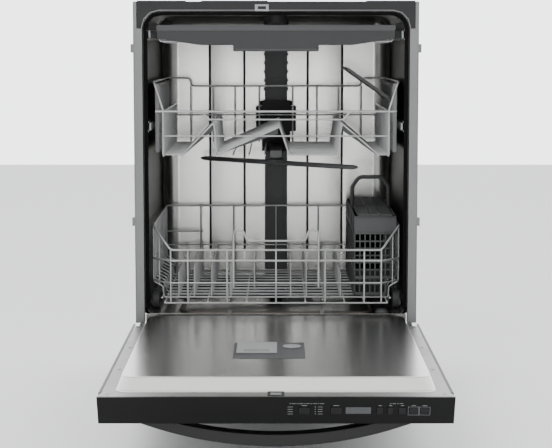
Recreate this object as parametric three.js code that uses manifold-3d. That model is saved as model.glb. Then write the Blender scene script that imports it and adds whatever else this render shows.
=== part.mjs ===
// Built-in dishwasher with its door lowered, three racks and two spray arms.
// Millimetres, +Z up, front towards -Y. The cabinet's front plane is y = 0 inside the machine group.
import * as THREE from "three";
import { mergeVertices } from "three/addons/utils/BufferGeometryUtils.js";
import Module from "manifold-3d";

const wasm = await Module();
wasm.setup();

// ---------------------------------------------------------------- driving dimensions

const CABINET_WIDTH = 597; // across the front frame
const CABINET_TOP = 868; // top of the frame above the floor
const CABINET_DEPTH = 575; // front frame to the back of the cabinet
const GAP = 0.3; // kept between pieces that touch
const SLIP = 0.5; // kept around pieces that slide or turn

const FRAME_STRIP = 19; // visible strip at the sides and top
const FRAME_DEPTH = 22;
const FRAME_FOOT_Z = 190; // lower end of the side strips
const OPENING_RADIUS = 35; // upper corners of the opening
const PLUG_Z = [406, 771]; // side screw plugs
const PLUG_PROUD = 6;

const TUB_WALL = 2;
const TUB_FLOOR_Z = 195; // upper face of the floor
const TUB_REAR_SPACE = 38; // behind the tub, inside the cabinet
const TUB_CORNER = 42; // plan radius of the rear corners
const DAM_Y = 20; // threshold behind the door
const DAM_TOP = 207;
const LEDGE_WIDTH = 27; // wheel track along each side wall
const GASKET_WIDTH = 7;
const GASKET_DEPTH = 10;

const HINGE_Y = -11;
const HINGE_Z = 179;
const DOOR_TOP_DROP = 2; // closed door's top edge below the frame's top
const DOOR_FACE_Z = 137; // outer face of the lowered door
const DOOR_SKIN = 2;
const FLANGE_Z = 188; // inner flange of the lowered door
const PLATEAU_Z = 207; // raised inner field of the door
const PLATEAU_FRONT_SPACE = 73; // door end to the top of the front bevel
const BEVEL_RUN = 26;
const DOOR_TAIL_Y = 48; // outer panel's tail under the tub
const CONSOLE_LEAN = 23; // console's lower edge set back
const CONSOLE_DEPTH = 7; // flat strip on top of the console
const HANDLE_HALF = 238;
const HANDLE_BOW = 42.5;
const HANDLE_GRIP = 21;
const HANDLE_THICK = 28;
const DOOR_OVERLAP = 4.5; // door past the frame on each side
const HINGE_ARM_SPACE = 3.8; // tub side to each hinge arm
const HINGE_ARM_THICK = 3;
const KEY_HEIGHT = 14;
const KEY_PROUD = 1.2;
const KEY_POCKET = 5;
const KEYS = {
  // centre and width of each key across the console
  key_cycle: [48, 19],
  key_options: [102, 19],
  key_heat: [176, 11],
  key_rinse: [194, 10],
  key_delay: [214, 12],
  key_cancel: [233, 15],
  key_start: [252, 15],
};
const WINDOW = [118, 161]; // display window, left and right
const WINDOW_HALF = 7;
const DISPENSER_X = [-80, 54]; // left and right
const DISPENSER_FROM_END = [233, 385]; // door end to its front and rear
const CUP_DEPTH = 24;
const CAP_RADIUS = 14;
const LATCH_HALF = 14.5;
const LATCH_FROM_END = [10, 44]; // door end to its front and rear
const HINGE_PIN_RADIUS = 4;

const BASE_BOTTOM = 60;
const BASE_TOP = 110;
const TOE_TOP = 100;
const LEG_RADIUS = 18;
const LEG_STUD = 5;
const LEG_INSET = 10; // tub wall to each leg's centre
const LEG_FRONT_SPACE = 80; // threshold to the front legs
const LEG_REAR_SPACE = 45;
const PUMP_SPACE = 16; // sump to each pump
const FLOAT_SPACE = 49.2; // tub wall to the float's centre
const FLOAT_RADIUS = 14;
const SPRING_LENGTH = 120;
const SPRING_RADIUS = 6.5;

const HUB_REAR_SPACE = 262; // spray arm centre to the back wall
const ARM_PIN = 6;
const ARM_HEIGHT = 15;
const LOWER_ARM_Z = 206;
const LOWER_ARM_MARGIN = 27;
const LOWER_ARM_ANGLE = 20;
const UPPER_ARM_Z = 505;
const UPPER_ARM_MARGIN = 30;
const UPPER_ARM_ANGLE = -40;
const SUMP_RADIUS = 108;
const SUMP_BOTTOM = 112;
const FILTER_RADIUS = 30;
const FILTER_OFFSET = 52;

const RACK_HOME_Y = 30; // front of the racks when pushed in
const RACK_SIDE_SPACE = 11.5; // tub wall to the rim wire's centre
const WIRE = 2; // radius of rack wires
const RIM = 2.25; // radius of rim wires
const LOWER_REAR_SPACE = 30;
const LOWER_FLOOR_Z = 230.5;
const LOWER_RIM_FRONT_Z = 342;
const LOWER_RIM_SIDE_Z = 390;
const LOWER_CORNER = 40; // plan chamfer of the front corners
const WHEEL_RADIUS = 20.2;
const WHEEL_WIDTH = 15;
const WHEEL_AXLE = 3;
const WHEEL_INSET = 69; // rack end to the axle
const BASKET_WIDTH = 92;
const BASKET_SLACK = 2.4; // basket to the rim beside it
const BASKET_WALL = 2.5;
const BASKET_FLOOR_SPACE = 6; // rack floor wires to the underside of the basket
const BASKET_TOP = 410;
const BASKET_HANDLE_TOP = 484;
const TINE_HEIGHT = 78;
const TINE_PITCH = 24;
const TINE_COUNT = 9;
const TINE_X = -48;
const FIXED_TINE_X = [-212, 66];
const LOWER_STEP = 20; // rack floor narrower than the rim, on each side

const UPPER_REAR_SPACE = 65;
const UPPER_FLOOR_Z = 547;
const UPPER_RIM_Z = 699;
const UPPER_FRONT_Z = 638;
const UPPER_SIDE_SPACE = 15.5;
const ADJUSTER_THICK = 11;
const PIPE_HALF = 14;
const SHELF_LENGTH = 112;
const SHELF_THICK = 6;
const SHELF_DEPTH = 290;
const SHELF_TILT = 35;
const SHELF_Z = 660;

const THIRD_DROP = 27; // below the tub ceiling
const THIRD_DEPTH = 400;
const THIRD_TRIM_Y = 20;
const THIRD_SIDE_SPACE = 27;
const UPPER_RAIL_Z = 606;
const RAIL_THICK = 4;
const RAIL_LENGTH = 436;

const COLUMN_HALF = 27;
const COLUMN_DEPTH = 25;
const DOCK_Z = 560;
const DOCK_HEIGHT = 85;
const DOCK_HALF = 48;

// ---------------------------------------------------------------- derived places

const frameHalf = CABINET_WIDTH / 2;
const openingHalf = frameHalf - FRAME_STRIP;
const tubOuter = openingHalf - GAP;
const tubInner = tubOuter - TUB_WALL;
const tubTop = CABINET_TOP - FRAME_STRIP - GAP;
const ceilingZ = tubTop - TUB_WALL;
const tubRear = CABINET_DEPTH - TUB_REAR_SPACE;
const wallY = tubRear - TUB_WALL;
const ledgeZ = DAM_TOP - GAP;
const hingeArmX = tubOuter + HINGE_ARM_SPACE;
const doorHalf = frameHalf + DOOR_OVERLAP;
const doorEnd = HINGE_Z + HINGE_Y - (CABINET_TOP - DOOR_TOP_DROP);
const flangeHalf = doorHalf - DOOR_SKIN - GAP;
const flangeEnd = doorEnd + CONSOLE_DEPTH;
const plateauHalf = openingHalf - 3.5;
const plateauFront = doorEnd + PLATEAU_FRONT_SPACE;
const hubY = wallY - HUB_REAR_SPACE;
const rackHalf = tubInner - RACK_SIDE_SPACE;
const lowerRear = wallY - LOWER_REAR_SPACE;
const upperRear = wallY - UPPER_REAR_SPACE;
const upperHalf = tubInner - UPPER_SIDE_SPACE;
const thirdHalf = tubInner - THIRD_SIDE_SPACE;
const thirdTop = ceilingZ - THIRD_DROP;
const columnFront = wallY - GAP - COLUMN_DEPTH;
const lowerFloorHalf = rackHalf - LOWER_STEP;
const stepZ = LOWER_FLOOR_Z + 2.5;
const basketRight = rackHalf - RIM - BASKET_SLACK;
const basketLeft = basketRight - BASKET_WIDTH;
const basketFront = RACK_HOME_Y + LOWER_CORNER + 6;
const lidX = basketLeft + 8;
const axleZ = DAM_TOP + WHEEL_RADIUS + 0.1;
const stubZ = axleZ + 1;
const stubRadius = WHEEL_AXLE + 2;
const basketStepZ = stepZ + 40; // above the raised side of the rack's floor
const basketStepX = lowerFloorHalf - 5;
const basketBottom = Math.max(LOWER_FLOOR_Z + BASKET_FLOOR_SPACE, stubZ + stubRadius + SLIP);
const legX = tubInner - LEG_INSET;
const legPlaces = [DAM_Y + LEG_FRONT_SPACE, CABINET_DEPTH - LEG_REAR_SPACE];
const latchY0 = doorEnd + LATCH_FROM_END[0];
const latchY1 = doorEnd + LATCH_FROM_END[1];
const dispenserY = DISPENSER_FROM_END.map((space) => doorEnd + space);
const tineSpan = (TINE_COUNT - 1) * TINE_PITCH;
const wheelX = tubInner - 16;
const wheelPlaces = [RACK_HOME_Y + WHEEL_INSET, lowerRear - WHEEL_INSET];
const upperReach = Math.min(HUB_REAR_SPACE - UPPER_ARM_MARGIN, tubInner - 40);
const shelfX = upperHalf - ADJUSTER_THICK - 6;
const pipeZ = UPPER_FLOOR_Z - WIRE * 2 - 11;
const basketRear = lowerRear - 35;
const lengthCentre = (doorEnd + CABINET_DEPTH) / 2;
const railX = tubInner - GASKET_WIDTH - 1.3;
const railFront = DAM_Y + GASKET_DEPTH + 4;
// The console's face plane: x across, v up the slope, w outwards, from the middle of the face.
const faceMiddle = new THREE.Vector3(0, doorEnd + CONSOLE_LEAN / 2, (FLANGE_Z + DOOR_FACE_Z) / 2);
const faceTurn = Math.atan2(FLANGE_Z - DOOR_FACE_Z, -CONSOLE_LEAN);
const railLevels = { upper: UPPER_RAIL_Z, third: thirdTop - 20 };

// ---------------------------------------------------------------- solids

// Turns a closed three.js geometry into a solid that can be joined and cut.
function solidOf(geometry) {
  geometry.deleteAttribute("normal");
  geometry.deleteAttribute("uv");
  const merged = mergeVertices(geometry, 1e-4);
  return new wasm.Manifold(
    new wasm.Mesh({
      numProp: 3,
      vertProperties: merged.attributes.position.array,
      triVerts: new Uint32Array(merged.index.array),
    }),
  );
}

// Turns a solid back into a three.js geometry.
function geometryOf(solid) {
  const mesh = solid.getMesh();
  const geometry = new THREE.BufferGeometry();
  geometry.setAttribute("position", new THREE.BufferAttribute(mesh.vertProperties, 3));
  geometry.setIndex(new THREE.BufferAttribute(mesh.triVerts, 1));
  return geometry;
}

const join = (...solids) => solids.flat().reduce((sum, solid) => sum.add(solid));
const cut = (solid, ...tools) => tools.flat().reduce((left, tool) => left.subtract(tool), solid);

// A box between two x, two y and two z values.
function box(x0, x1, y0, y1, z0, z1) {
  const geometry = new THREE.BoxGeometry(x1 - x0, y1 - y0, z1 - z0);
  geometry.translate((x0 + x1) / 2, (y0 + y1) / 2, (z0 + z1) / 2);
  return solidOf(geometry);
}

// A round bar between two points.
function rod(start, end, radius, sides = 12) {
  const from = new THREE.Vector3(...start);
  const to = new THREE.Vector3(...end);
  const along = to.clone().sub(from);
  const geometry = new THREE.CylinderGeometry(radius, radius, along.length(), sides);
  const up = new THREE.Vector3(0, 1, 0);
  geometry.applyQuaternion(new THREE.Quaternion().setFromUnitVectors(up, along.normalize()));
  const middle = from.add(to).multiplyScalar(0.5);
  geometry.translate(middle.x, middle.y, middle.z);
  return solidOf(geometry);
}

// A bent wire through a list of points, its stretches lapped at the bends.
function wire(points, radius = WIRE, sides = 3) {
  const stretches = points.slice(1).map((point, i) => {
    const from = new THREE.Vector3(...points[i]);
    const to = new THREE.Vector3(...point);
    const lap = to.clone().sub(from).setLength(radius * 0.6);
    return rod(from.sub(lap).toArray(), to.add(lap).toArray(), radius, sides);
  });
  return join(stretches);
}

// An outline pushed along an axis: along x it lies in y-z, along y in x-z, along z in x-y.
function prism(outline, axis, from, to, curveSegments = 6) {
  const shape = Array.isArray(outline)
    ? new THREE.Shape(outline.map((point) => new THREE.Vector2(...point)))
    : outline;
  const settings = { depth: to - from, bevelEnabled: false, curveSegments };
  const geometry = new THREE.ExtrudeGeometry(shape, settings);
  const place = new THREE.Matrix4();
  const [ex, ey, ez] = [0, 1, 2].map((i) => new THREE.Vector3().setComponent(i, 1));
  if (axis === "x") place.makeBasis(ey, ez, ex).setPosition(from, 0, 0);
  if (axis === "y") place.makeBasis(ex, ez, ey.negate()).setPosition(0, to, 0);
  if (axis === "z") place.setPosition(0, 0, from);
  geometry.applyMatrix4(place);
  return solidOf(geometry);
}

// A rectangle with a radius at each corner, in the order low-low, high-low, high-high, low-high.
function roundedRect(u0, u1, v0, v1, radii) {
  const [a, b, c, d] = radii;
  const shape = new THREE.Shape();
  shape.moveTo(u0 + a, v0);
  shape.lineTo(u1 - b, v0);
  if (b) shape.absarc(u1 - b, v0 + b, b, -Math.PI / 2, 0);
  shape.lineTo(u1, v1 - c);
  if (c) shape.absarc(u1 - c, v1 - c, c, 0, Math.PI / 2);
  shape.lineTo(u0 + d, v1);
  if (d) shape.absarc(u0 + d, v1 - d, d, Math.PI / 2, Math.PI);
  shape.lineTo(u0, v0 + a);
  if (a) shape.absarc(u0 + a, v0 + a, a, Math.PI, Math.PI * 1.5);
  return shape;
}

// A round piece from its closed radius-height profile, on a vertical axis at x, y.
function turned(profile, x, y, sides = 24) {
  const points = profile.map((point) => new THREE.Vector2(...point));
  const geometry = new THREE.LatheGeometry(points, sides);
  geometry.rotateX(Math.PI / 2);
  geometry.translate(x, y, 0);
  return solidOf(geometry);
}

const mirrored = (solid) => solid.mirror([1, 0, 0]);
const bothSides = (solid) => join(solid, mirrored(solid));

// Evenly spaced values, both ends included.
const spaced = (count, from, to) =>
  Array.from({ length: count }, (_, i) => from + ((to - from) * i) / (count - 1));

// ---------------------------------------------------------------- finishes and nodes

const finish = (color, roughness, metalness) =>
  new THREE.MeshStandardMaterial({ color, roughness, metalness });
const FINISHES = {
  stainless: finish(0xb9b9b6, 0.3, 1),
  framePaint: finish(0x8a8a8a, 0.5, 0.4),
  blackPaint: finish(0x111111, 0.25, 0.1),
  galvanised: finish(0x9a9d9f, 0.5, 0.8),
  rackWire: finish(0xcfcfcf, 0.3, 0.6),
  greyPlastic: finish(0x4a4a4a, 0.5, 0),
  lightPlastic: finish(0x8c8c8c, 0.45, 0),
  blackPlastic: finish(0x222222, 0.4, 0),
  rubber: finish(0x0c0c0c, 0.8, 0),
  lens: finish(0x303438, 0.15, 0),
  darkFelt: finish(0x3a3a3a, 0.95, 0),
};

const machine = new THREE.Group();
machine.position.y = -lengthCentre;

// Adds a named mesh to a group and returns it.
function addNode(name, solid, material, group = machine) {
  const mesh = new THREE.Mesh(geometryOf(solid), FINISHES[material]);
  mesh.name = name;
  group.add(mesh);
  return mesh;
}

// ---------------------------------------------------------------- cabinet

// The tub's outer or inner form: rounded at the ceiling seen from the front, at the back seen from above.
function tubForm(inset, frontY) {
  const half = tubOuter - inset;
  const radius = OPENING_RADIUS - inset;
  const floor = TUB_FLOOR_Z - TUB_WALL + inset;
  const section = roundedRect(-half, half, floor, tubTop - inset, [6, 6, radius, radius]);
  const corner = TUB_CORNER - inset;
  const plan = roundedRect(-half, half, frontY, tubRear - inset, [0, 0, corner, corner]);
  return prism(section, "y", frontY, tubRear).intersect(
    prism(plan, "z", floor - 1, CABINET_TOP),
  );
}

// A rail channel on the tub's wall, open towards the rack.
function railChannel(z) {
  const rear = railFront + RAIL_LENGTH;
  const bar = box(railX + 0.8, tubInner + 1, railFront, rear, z - 11, z + 11);
  return cut(bar, box(railX, railX + 3.5, railFront + 8, rear - 8, z - 6, z + 6));
}

function addTub() {
  const threshold = join(
    box(-tubOuter + 1, tubOuter - 1, DAM_Y - TUB_WALL, DAM_Y, HINGE_Z - 6, DAM_TOP),
    box(-tubOuter + 1, tubOuter - 1, 1, DAM_Y, HINGE_Z - 6, HINGE_Z - 4),
    box(-tubOuter + 1, tubOuter - 1, DAM_Y - 1, DAM_Y + 3, HINGE_Z - 6, TUB_FLOOR_Z - 1),
  );
  const ledge = box(tubInner - LEDGE_WIDTH, tubInner + 1, DAM_Y - 1, wallY - 20, ledgeZ - 3, ledgeZ);
  const shell = cut(tubForm(0, DAM_Y), tubForm(TUB_WALL, DAM_Y - 1));
  const mouth = cut(tubForm(0, 1), tubForm(TUB_WALL, 0)).intersect(
    box(-frameHalf, frameHalf, 0, DAM_Y + 1, DAM_TOP - 5, CABINET_TOP),
  );
  const sumpHole = rod([0, hubY, 0], [0, hubY, TUB_FLOOR_Z + 1], SUMP_RADIUS + 1, 32);
  const channels = Object.values(railLevels).map((z) => bothSides(railChannel(z)));
  const body = join(shell, mouth, threshold, bothSides(ledge), channels);
  addNode("tub_liner", cut(body, sumpHole), "stainless");
}

// The strike is a small loop on the top strip; the counter tabs screw to the worktop.
function topFittings() {
  const z0 = CABINET_TOP - 20;
  const loop = cut(
    box(-44, -15, -1.6, 1, z0, z0 + 14),
    box(-38, -21, -2, 0.5, z0 + 4, z0 + 10),
  );
  const tab = box(170, 200, FRAME_DEPTH - 1, FRAME_DEPTH + 32, CABINET_TOP - 1.5, CABINET_TOP);
  const screwHole = rod(
    [185, FRAME_DEPTH + 22, CABINET_TOP - 3],
    [185, FRAME_DEPTH + 22, CABINET_TOP + 1],
    3,
  );
  return [loop, bothSides(cut(tab, screwHole))];
}

function addFrontFrame() {
  const opening = roundedRect(
    -openingHalf,
    openingHalf,
    FRAME_FOOT_Z - 1,
    CABINET_TOP - FRAME_STRIP,
    [0, 0, OPENING_RADIUS, OPENING_RADIUS],
  );
  const plate = box(-frameHalf, frameHalf, 0, FRAME_DEPTH, FRAME_FOOT_Z, CABINET_TOP);
  const plugs = PLUG_Z.map((z) =>
    bothSides(box(frameHalf - 1, frameHalf + PLUG_PROUD, 6, 16, z - 9, z + 9)),
  );
  const frame = cut(plate, prism(opening, "y", -1, FRAME_DEPTH + 1));
  addNode("front_frame", join(frame, plugs, topFittings()), "framePaint");
}

// A strip bent round the opening's sides and top, standing inside the tub's walls.
function addGasket() {
  const arch = (inset, y0, y1) => {
    const half = tubInner - GAP - inset;
    const radius = OPENING_RADIUS - TUB_WALL - inset;
    const low = DAM_TOP + 0.5 - (inset ? 1 : 0);
    const outline = roundedRect(-half, half, low, ceilingZ - GAP - inset, [0, 0, radius, radius]);
    return prism(outline, "y", y0, y1);
  };
  const y = DAM_Y + 1;
  const strip = cut(arch(0, y, y + GASKET_DEPTH), arch(GASKET_WIDTH, y - 1, y + GASKET_DEPTH + 1));
  addNode("door_gasket", strip, "rubber");
}

function addBase() {
  const memberIn = tubInner - 15;
  const front = DAM_Y + 45;
  const rear = CABINET_DEPTH;
  const bracketIn = hingeArmX + HINGE_ARM_THICK + 1;
  const bracketOut = bracketIn + 3;
  const side = join(
    box(memberIn, bracketOut, front, rear, BASE_BOTTOM, BASE_TOP),
    box(memberIn, memberIn + 13, front + 5, front + 40, BASE_TOP - 1, TUB_FLOOR_Z - TUB_WALL - GAP),
    box(memberIn, memberIn + 13, rear - 90, rear - 50, BASE_TOP - 1, TUB_FLOOR_Z - TUB_WALL - GAP),
  );
  const bracket = prism(
    [
      [HINGE_Y - 5, HINGE_Z - 4],
      [HINGE_Y + 16, HINGE_Z - 9],
      [DAM_Y + 22, HINGE_Z - 15],
      [front, HINGE_Z - 29],
      [front, BASE_TOP - 5],
      [front + 35, BASE_TOP - 5],
      [front + 35, FRAME_FOOT_Z - 1],
      [FRAME_DEPTH, FRAME_FOOT_Z - 1],
      [HINGE_Y, HINGE_Z + 6],
      [HINGE_Y - 5, HINGE_Z + 3],
    ],
    "x",
    bracketIn,
    bracketOut,
  );
  const pin = rod(
    [hingeArmX - 1, HINGE_Y, HINGE_Z],
    [bracketIn + 1, HINGE_Y, HINGE_Z],
    HINGE_PIN_RADIUS,
  );
  const across = (y) => box(-memberIn - 1, memberIn + 1, y, y + 12, BASE_BOTTOM, BASE_TOP - 15);
  const boss = (y) => box(memberIn - 16, memberIn + 1, y - 19, y + 19, BASE_BOTTOM, BASE_TOP);
  const legHole = (y) =>
    rod([legX, y, BASE_BOTTOM - 1], [legX, y, BASE_TOP - 10], LEG_STUD + SLIP, 12);
  const frame = join(
    bothSides(join(side, bracket, pin, legPlaces.map(boss))),
    across(front),
    across(rear - 12),
  );
  addNode("base_frame", cut(frame, legPlaces.map((y) => bothSides(legHole(y)))), "galvanised");
}

// Each leg is a foot disc on a threaded stud that turns in the base.
function addLegs() {
  const leg = turned(
    [
      [0, 0],
      [LEG_RADIUS, 0],
      [LEG_RADIUS, 5],
      [LEG_RADIUS * 0.55, 10],
      [LEG_STUD, 12],
      [LEG_STUD, BASE_TOP - 16],
      [0, BASE_TOP - 16],
    ],
    0,
    0,
    16,
  );
  const places = { front: legPlaces[0], rear: legPlaces[1] };
  for (const [end, y] of Object.entries(places)) {
    for (const [side, sign] of Object.entries({ left: -1, right: 1 })) {
      const mesh = addNode(`leg_${end}_${side}`, leg, "blackPlastic");
      mesh.position.set(sign * legX, y, 0);
    }
  }
}

function addToePanel() {
  const half = frameHalf - 2;
  const face = box(-half, half, DAM_Y + 2, DAM_Y + 5, 12, TOE_TOP);
  const fold = box(-half, half, DAM_Y + 2, DAM_Y + 44.5, TOE_TOP - 3, TOE_TOP);
  addNode("toe_panel", join(face, fold), "blackPaint");
}

function addSump() {
  const top = TUB_FLOOR_Z - 1;
  const riser = 14;
  const bowl = turned(
    [
      [0, SUMP_BOTTOM],
      [SUMP_RADIUS - 25, SUMP_BOTTOM],
      [SUMP_RADIUS, SUMP_BOTTOM + 40],
      [SUMP_RADIUS, top],
      [SUMP_RADIUS - 3, top],
      [SUMP_RADIUS - 3, SUMP_BOTTOM + 42],
      [SUMP_RADIUS - 27, SUMP_BOTTOM + 4],
      [riser, SUMP_BOTTOM + 4],
      [riser, LOWER_ARM_Z - GAP],
      [ARM_PIN, LOWER_ARM_Z - GAP],
      [ARM_PIN, LOWER_ARM_Z + ARM_HEIGHT - 3],
      [0, LOWER_ARM_Z + ARM_HEIGHT - 3],
    ],
    0,
    hubY,
    24,
  );
  addNode("sump", bowl, "blackPlastic");
  const plateRadius = SUMP_RADIUS - 3.5;
  const plate = rod([0, hubY, top - 3], [0, hubY, top], plateRadius, 24);
  const holes = [
    rod([0, hubY, top - 5], [0, hubY, top + 2], riser + SLIP, 16),
    rod([FILTER_OFFSET, hubY, top - 5], [FILTER_OFFSET, hubY, top + 2], FILTER_RADIUS + SLIP, 16),
  ];
  addNode("filter_plate", cut(plate, holes), "stainless");
  const cup = turned(
    [
      [0, SUMP_BOTTOM + 8],
      [FILTER_RADIUS - 4, SUMP_BOTTOM + 8],
      [FILTER_RADIUS - 1, top + GAP],
      [FILTER_RADIUS + 4, top + GAP],
      [FILTER_RADIUS + 4, top + 2.5],
      [FILTER_RADIUS - 5, top + 2.5],
      [FILTER_RADIUS - 7, SUMP_BOTTOM + 11],
      [0, SUMP_BOTTOM + 11],
    ],
    FILTER_OFFSET,
    hubY,
    16,
  );
  const rib = box(
    FILTER_OFFSET - FILTER_RADIUS + 6,
    FILTER_OFFSET + FILTER_RADIUS - 6,
    hubY - 3,
    hubY + 3,
    top - 20,
    top + 8,
  );
  addNode("filter_cup", join(cup, rib), "greyPlastic");
}

// A pump housing lying across the machine, its round body along x.
function pump(x0, x1, y, z, radius, neck) {
  return join(
    rod([x0, y, z], [x1, y, z], radius, 16),
    rod([x1 - 1, y, z], [x1 + neck, y, z], radius * 0.6, 12),
    box(x0 + 8, x1 - 8, y - radius * 0.5, y + radius * 0.5, z - radius - 6, z - radius * 0.5),
  );
}

function addServices() {
  const pumpX = SUMP_RADIUS + PUMP_SPACE;
  const wash = pump(pumpX, pumpX + 84, hubY + 80, 138, 40, 30);
  const drain = pump(pumpX, pumpX + 46, hubY, 128, 26, 30);
  addNode("wash_pump", wash, "blackPlastic");
  addNode("drain_pump", mirrored(drain), "blackPlastic");
  const loopHalf = 208;
  const loopFront = DAM_Y + 45;
  const loopRear = wallY - 50;
  const z = TUB_FLOOR_Z + 5.5;
  const loop = wire(
    [
      [-20, loopRear, z],
      [-loopHalf + 30, loopRear, z],
      [-loopHalf, loopRear - 30, z],
      [-loopHalf, loopFront + 30, z],
      [-loopHalf + 30, loopFront, z],
      [loopHalf - 30, loopFront, z],
      [loopHalf, loopFront + 30, z],
      [loopHalf, loopRear - 30, z],
      [loopHalf - 30, loopRear, z],
      [20, loopRear, z],
    ],
    3.5,
    6,
  );
  const clip = (x, y) => box(x - 4, x + 4, y - 5, y + 5, TUB_FLOOR_Z + GAP, z + 4.5);
  const clips = [loopFront, loopRear].map((y) => bothSides(clip(100, y)));
  addNode("heating_element", join(loop, clips), "galvanised");
  const float = turned(
    [
      [0, TUB_FLOOR_Z + GAP],
      [FLOAT_RADIUS, TUB_FLOOR_Z + GAP],
      [FLOAT_RADIUS, TUB_FLOOR_Z + 12],
      [FLOAT_RADIUS - 5, TUB_FLOOR_Z + 17],
      [0, TUB_FLOOR_Z + 17],
    ],
    0,
    0,
    16,
  );
  addNode("float_cap", float, "greyPlastic").position.set(tubInner - FLOAT_SPACE, DAM_Y + 30, 0);
  for (const [side, sign] of Object.entries({ left: -1, right: 1 })) {
    const spring = turned(
      spaced(15, 0, SPRING_LENGTH).map((z, i) => [
        i === 0 || i === 14 ? 0 : SPRING_RADIUS - (1 - (i % 2)) * 1.5,
        z,
      ]),
      0,
      0,
      6,
    );
    const mesh = addNode(`door_spring_${side}`, spring, "galvanised");
    mesh.rotation.x = -Math.PI / 2;
    mesh.position.set(sign * hingeArmX, DAM_Y + 130, DOOR_FACE_Z - 1);
  }
}

function addWaterColumn() {
  const y1 = wallY - GAP;
  const pipe = join(
    box(-COLUMN_HALF, COLUMN_HALF, columnFront, y1, TUB_FLOOR_Z + GAP, ceilingZ - GAP),
    box(-12, 12, hubY, columnFront + 1, ceilingZ - 20, ceilingZ - GAP),
  );
  const nozzle = turned(
    [
      [0, ceilingZ - 24],
      [12, ceilingZ - 24],
      [20, ceilingZ - 18],
      [20, ceilingZ - GAP],
      [0, ceilingZ - GAP],
    ],
    0,
    hubY,
    16,
  );
  addNode("feed_column", join(pipe, nozzle), "greyPlastic");
  const dockFront = columnFront - 24;
  const pegHalf = COLUMN_HALF + 13;
  const pegZ = DOCK_Z + DOCK_HEIGHT - 6;
  const dock = join(
    box(-DOCK_HALF, DOCK_HALF, dockFront, columnFront - GAP, DOCK_Z + 12, DOCK_Z + DOCK_HEIGHT - 14),
    box(-DOCK_HALF + 14, DOCK_HALF - 14, dockFront, columnFront - GAP, DOCK_Z - 36, DOCK_Z + DOCK_HEIGHT),
    rod([-pegHalf, dockFront + 10, pegZ], [pegHalf, dockFront + 10, pegZ], 5, 8),
    rod([0, dockFront - 5, pipeZ], [0, dockFront + 1, pipeZ], 11, 12),
  );
  addNode("docking_port", dock, "blackPlastic");
}

// ---------------------------------------------------------------- spray arms

// A slim blade, fuller at the hub, with a stepped bearing bore.
function sprayArm(reach) {
  const blade = new THREE.Shape();
  blade.moveTo(-reach + 8, -9);
  blade.quadraticCurveTo(0, -34, reach - 8, -9);
  blade.lineTo(reach, 0);
  blade.lineTo(reach - 8, 9);
  blade.quadraticCurveTo(0, 34, -reach + 8, 9);
  blade.lineTo(-reach, 0);
  const body = join(
    prism(blade, "z", 2, ARM_HEIGHT - 3, 8),
    rod([0, 0, 0], [0, 0, ARM_HEIGHT], 21, 16),
  );
  return cut(body, rod([0, 0, -1], [0, 0, ARM_HEIGHT + 1], ARM_PIN + SLIP, 12));
}

function addLowerArm() {
  const reach = Math.min(HUB_REAR_SPACE - LOWER_ARM_MARGIN, tubInner - LEDGE_WIDTH - 14);
  const mesh = addNode("lower_spray_arm", sprayArm(reach), "greyPlastic");
  mesh.position.set(0, hubY, LOWER_ARM_Z);
  mesh.rotation.z = THREE.MathUtils.degToRad(LOWER_ARM_ANGLE);
}

// ---------------------------------------------------------------- door

function addDoorPanels() {
  const end = doorEnd + CONSOLE_LEAN + 7.5;
  const outer = join(
    box(-doorHalf, doorHalf, end, DOOR_TAIL_Y, DOOR_FACE_Z, DOOR_FACE_Z + DOOR_SKIN),
    bothSides(box(doorHalf - DOOR_SKIN, doorHalf, end, -4, DOOR_FACE_Z + 1, FLANGE_Z - 0.5)),
  );
  addNode("door_outer_panel", outer, "blackPaint");

  const foot = HINGE_Y + 2;
  const side = (inset, drop) => [
    [plateauFront - BEVEL_RUN + inset * 0.9, FLANGE_Z - drop - 1],
    [plateauFront - BEVEL_RUN + inset * 0.9, FLANGE_Z - drop],
    [plateauFront + inset * 0.7, PLATEAU_Z - drop],
    [foot - inset, PLATEAU_Z - drop],
    [foot - inset, FLANGE_Z - drop - 1],
  ];
  const across = (inset, drop) => [
    [-plateauHalf + inset, FLANGE_Z - drop - 1],
    [plateauHalf - inset, FLANGE_Z - drop - 1],
    [plateauHalf - 7 - inset * 0.6, PLATEAU_Z - drop],
    [-plateauHalf + 7 + inset * 0.6, PLATEAU_Z - drop],
  ];
  const field = (inset, drop) =>
    prism(side(inset, drop), "x", -doorHalf, doorHalf).intersect(
      prism(across(inset, drop), "y", doorEnd, DAM_Y),
    );
  const flange = join(
    box(-flangeHalf, flangeHalf, flangeEnd + GAP, HINGE_Y - 15, FLANGE_Z - 2, FLANGE_Z),
    box(-plateauHalf + 3, plateauHalf - 3, HINGE_Y - 16, foot, FLANGE_Z - 2, FLANGE_Z),
  );
  const recess = dispenserBox(SLIP, FLANGE_Z - 6, PLATEAU_Z + 3);
  const latchHole = box(
    -LATCH_HALF - GAP,
    LATCH_HALF + GAP,
    latchY0 - GAP,
    latchY1 + GAP,
    FLANGE_Z - 5,
    FLANGE_Z + 2,
  );
  const liner = cut(join(flange, field(0, 0)), field(DOOR_SKIN, DOOR_SKIN), recess, latchHole);
  addNode("door_inner_liner", liner, "stainless");
}

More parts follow.
